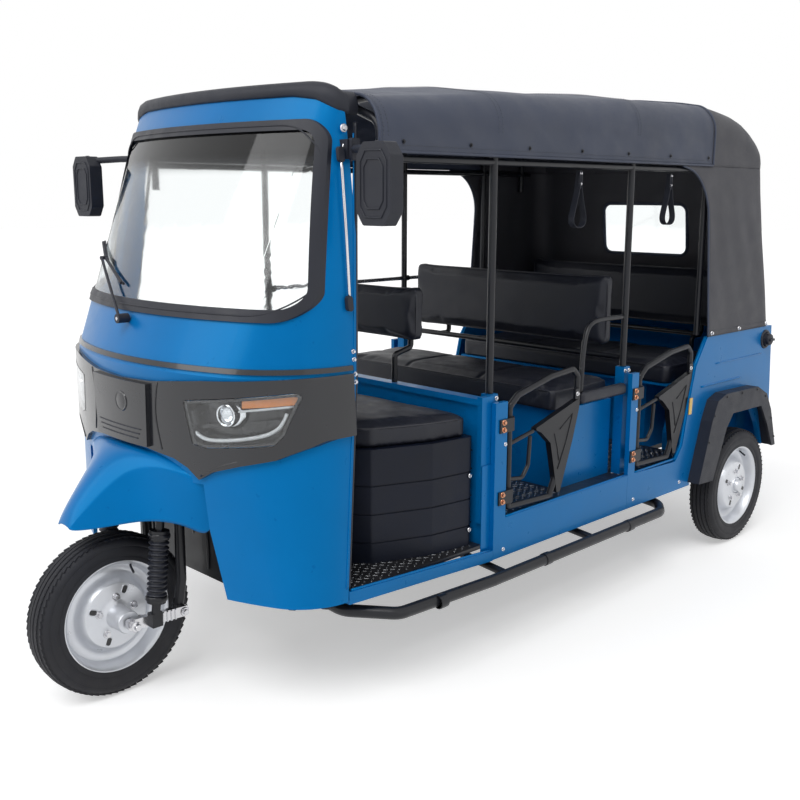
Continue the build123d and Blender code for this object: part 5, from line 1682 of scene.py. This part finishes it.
def hand_straps():
    """Webbing loops that hang from the roof rail, as flat bands."""
    for number, y in enumerate((1500, 2080)):
        line = [(0, 1566), (-3, 1530), (-8, 1500), (-19, 1462), (-30, 1430), (-36, 1410), (-34, 1392),
                (-20, 1380), (0, 1377)]
        loop = line + [(-u, z) for u, z in reversed(line[:-1])]
        path = [Vector((580, u, z)) for u, z in loop]
        for _ in range(2):
            cut = [q for a, b in zip(path, path[1:]) for q in (a * 0.75 + b * 0.25, a * 0.25 + b * 0.75)]
            path = [path[0]] + cut + [path[-1]]
        points, faces = [], []
        for i, p in enumerate(path):
            run = (path[min(i + 1, len(path) - 1)] - path[max(i - 1, 0)]).normalized()
            out = Vector((0, run.z, -run.y))
            for across, depth in ((-11.5, -1.4), (11.5, -1.4), (12.5, 0), (11.5, 1.4), (-11.5, 1.4),
                    (-12.5, 0)):
                q = p + Vector((across, 0, 0)) + out * depth
                points.append(at(q.x, y + q.y, q.z))
        for i in range(len(path) - 1):
            for k in range(6):
                a, b = i * 6 + k, i * 6 + (k + 1) % 6
                faces.append((a, b, b + 6, a + 6))
        faces += [tuple(range(6)), tuple(reversed(range((len(path) - 1) * 6, len(path) * 6)))]
        made = make_object(f"hand_strap_loop_{number + 1}",
                sharpen(outward(mesh_of("strap", points, faces)), 50), *of("grey_plastic"))
        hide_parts("grab_straps")


def cab_fittings():
    """Grab-strap clips and rivets, guard-rail clips and the bolts of the seat backs."""
    for k, y in enumerate((1500, 2080)):
        slab(f"strap_clip_{k + 1}", rounded(9, 30, 6), lambda u, v, y=y: at(583, y + u, 1538 + v),
                (1, 0, 0), 7, *of("grey_plastic"), 2)
        bolts(f"strap_rivets_{k + 1}", [at(589.5, y, z) for z in (1558, 1524)], [(1, 0, 0)] * 2, head=4,
                height=3, washer=6, sides=16)
    for k, (y, z) in enumerate(((1068, 930), (1821, 930), (1068, 1120), (1821, 1120), (2341, 930),
            (2341, 1120))):
        turned(f"rail_clip_{k + 1}", [(9.5, -12), (12.5, -11), (12.5, 11), (9.5, 12)], at(-580, y + 14, z),
                (0, 1, 0), *of("dark_paint"), steps=28)
    for k, x in enumerate((-200, 200)):
        bolts(f"driver_back_bolts_{k + 1}", [at(x, 1078 + 10.6, z) for z in (1040, 1150)], [(0, 1, 0)] * 2,
                head=6, height=5, washer=9)
    for k, (node_x, y) in enumerate(((-360, 1893), (360, 1893), (-380, 2771), (380, 2771))):
        bolts(f"bench_back_bolts_{k + 1}", [at(node_x, y, z) for z in (960, 1140)], [(0, 1, 0)] * 2, head=6,
                height=5, washer=9)


hand_straps()
cab_fittings()


# ------------------------------------------------------------------ stage, light and camera

def seen_directly(tree):
    """1 for rays from the camera and those that glass and metal pass on."""
    path = add(tree, "ShaderNodeLightPath").outputs
    first = maths(tree, "MAXIMUM", path["Is Camera Ray"], path["Is Transmission Ray"])
    return maths(tree, "MAXIMUM", first, path["Is Glossy Ray"])


def stage():
    mesh = mesh_of("floor", [(-40, -40, 0), (40, -40, 0), (40, 40, 0), (-40, 40, 0)], [(0, 1, 2, 3)])
    floor = bpy.data.objects.new("floor", mesh)
    bpy.context.scene.collection.objects.link(floor)
    material = bpy.data.materials.new("pale_floor")
    material.use_nodes = True
    tree = material.node_tree
    shader = tree.nodes["Principled BSDF"]
    shader.inputs["Base Color"].default_value = (0.86, 0.86, 0.86, 1)
    shader.inputs["Roughness"].default_value = 1.0
    shader.inputs["Specular IOR Level"].default_value = 0.0
    shader.inputs["Emission Color"].default_value = (1, 1, 1, 1)
    tree.links.new(maths(tree, "MULTIPLY", seen_directly(tree), 0.42), shader.inputs["Emission Strength"])
    mesh.materials.append(material)
    world = bpy.data.worlds.new("studio")
    bpy.context.scene.world = world
    world.use_nodes = True
    tree = world.node_tree
    background = tree.nodes["Background"]
    background.inputs["Color"].default_value = (1, 1, 1, 1)
    tree.links.new(maths(tree, "MULTIPLY_ADD", seen_directly(tree), 0.66, 0.34),
            background.inputs["Strength"])
    for name, place, strength, spread in (("key", (1.8, -3.0, 5.0), 1.25, 30),
            ("fill", (4.5, 1.0, 1.6), 0.25, 60),
                                          ("front", (-1.6, -5.0, 3.4), 0.85, 40)):
        light = bpy.data.lights.new(name, "SUN")
        light.energy = strength
        light.angle = math.radians(spread)
        lamp = bpy.data.objects.new(name, light)
        lamp.rotation_euler = (-Vector(place)).to_track_quat("-Z", "Y").to_euler()
        bpy.context.scene.collection.objects.link(lamp)


def camera():
    yaw, pitch, roll = math.radians(45.37), math.radians(11.515), math.radians(0.144)
    forward = Vector((-math.sin(yaw) * math.cos(pitch), math.cos(yaw) * math.cos(pitch), -math.sin(pitch)))
    right = Vector((math.cos(yaw), math.sin(yaw), 0))
    up = right.cross(forward)
    right, up = right * math.cos(roll) + up * math.sin(roll), up * math.cos(roll) - right * math.sin(roll)
    made = bpy.data.objects.new("camera", bpy.data.cameras.new("camera"))
    made.data.sensor_fit = "HORIZONTAL"
    made.data.sensor_width = 36
    made.data.lens = 1004.5 / 800 * 36
    turn = Matrix((right, up, -forward)).transposed()
    made.matrix_world = Matrix.Translation((2.635, -2.762, 1.484)) @ turn.to_4x4()
    bpy.context.scene.collection.objects.link(made)
    bpy.context.scene.camera = made


stage()
camera()
bpy.context.scene.view_settings.view_transform = "Standard"
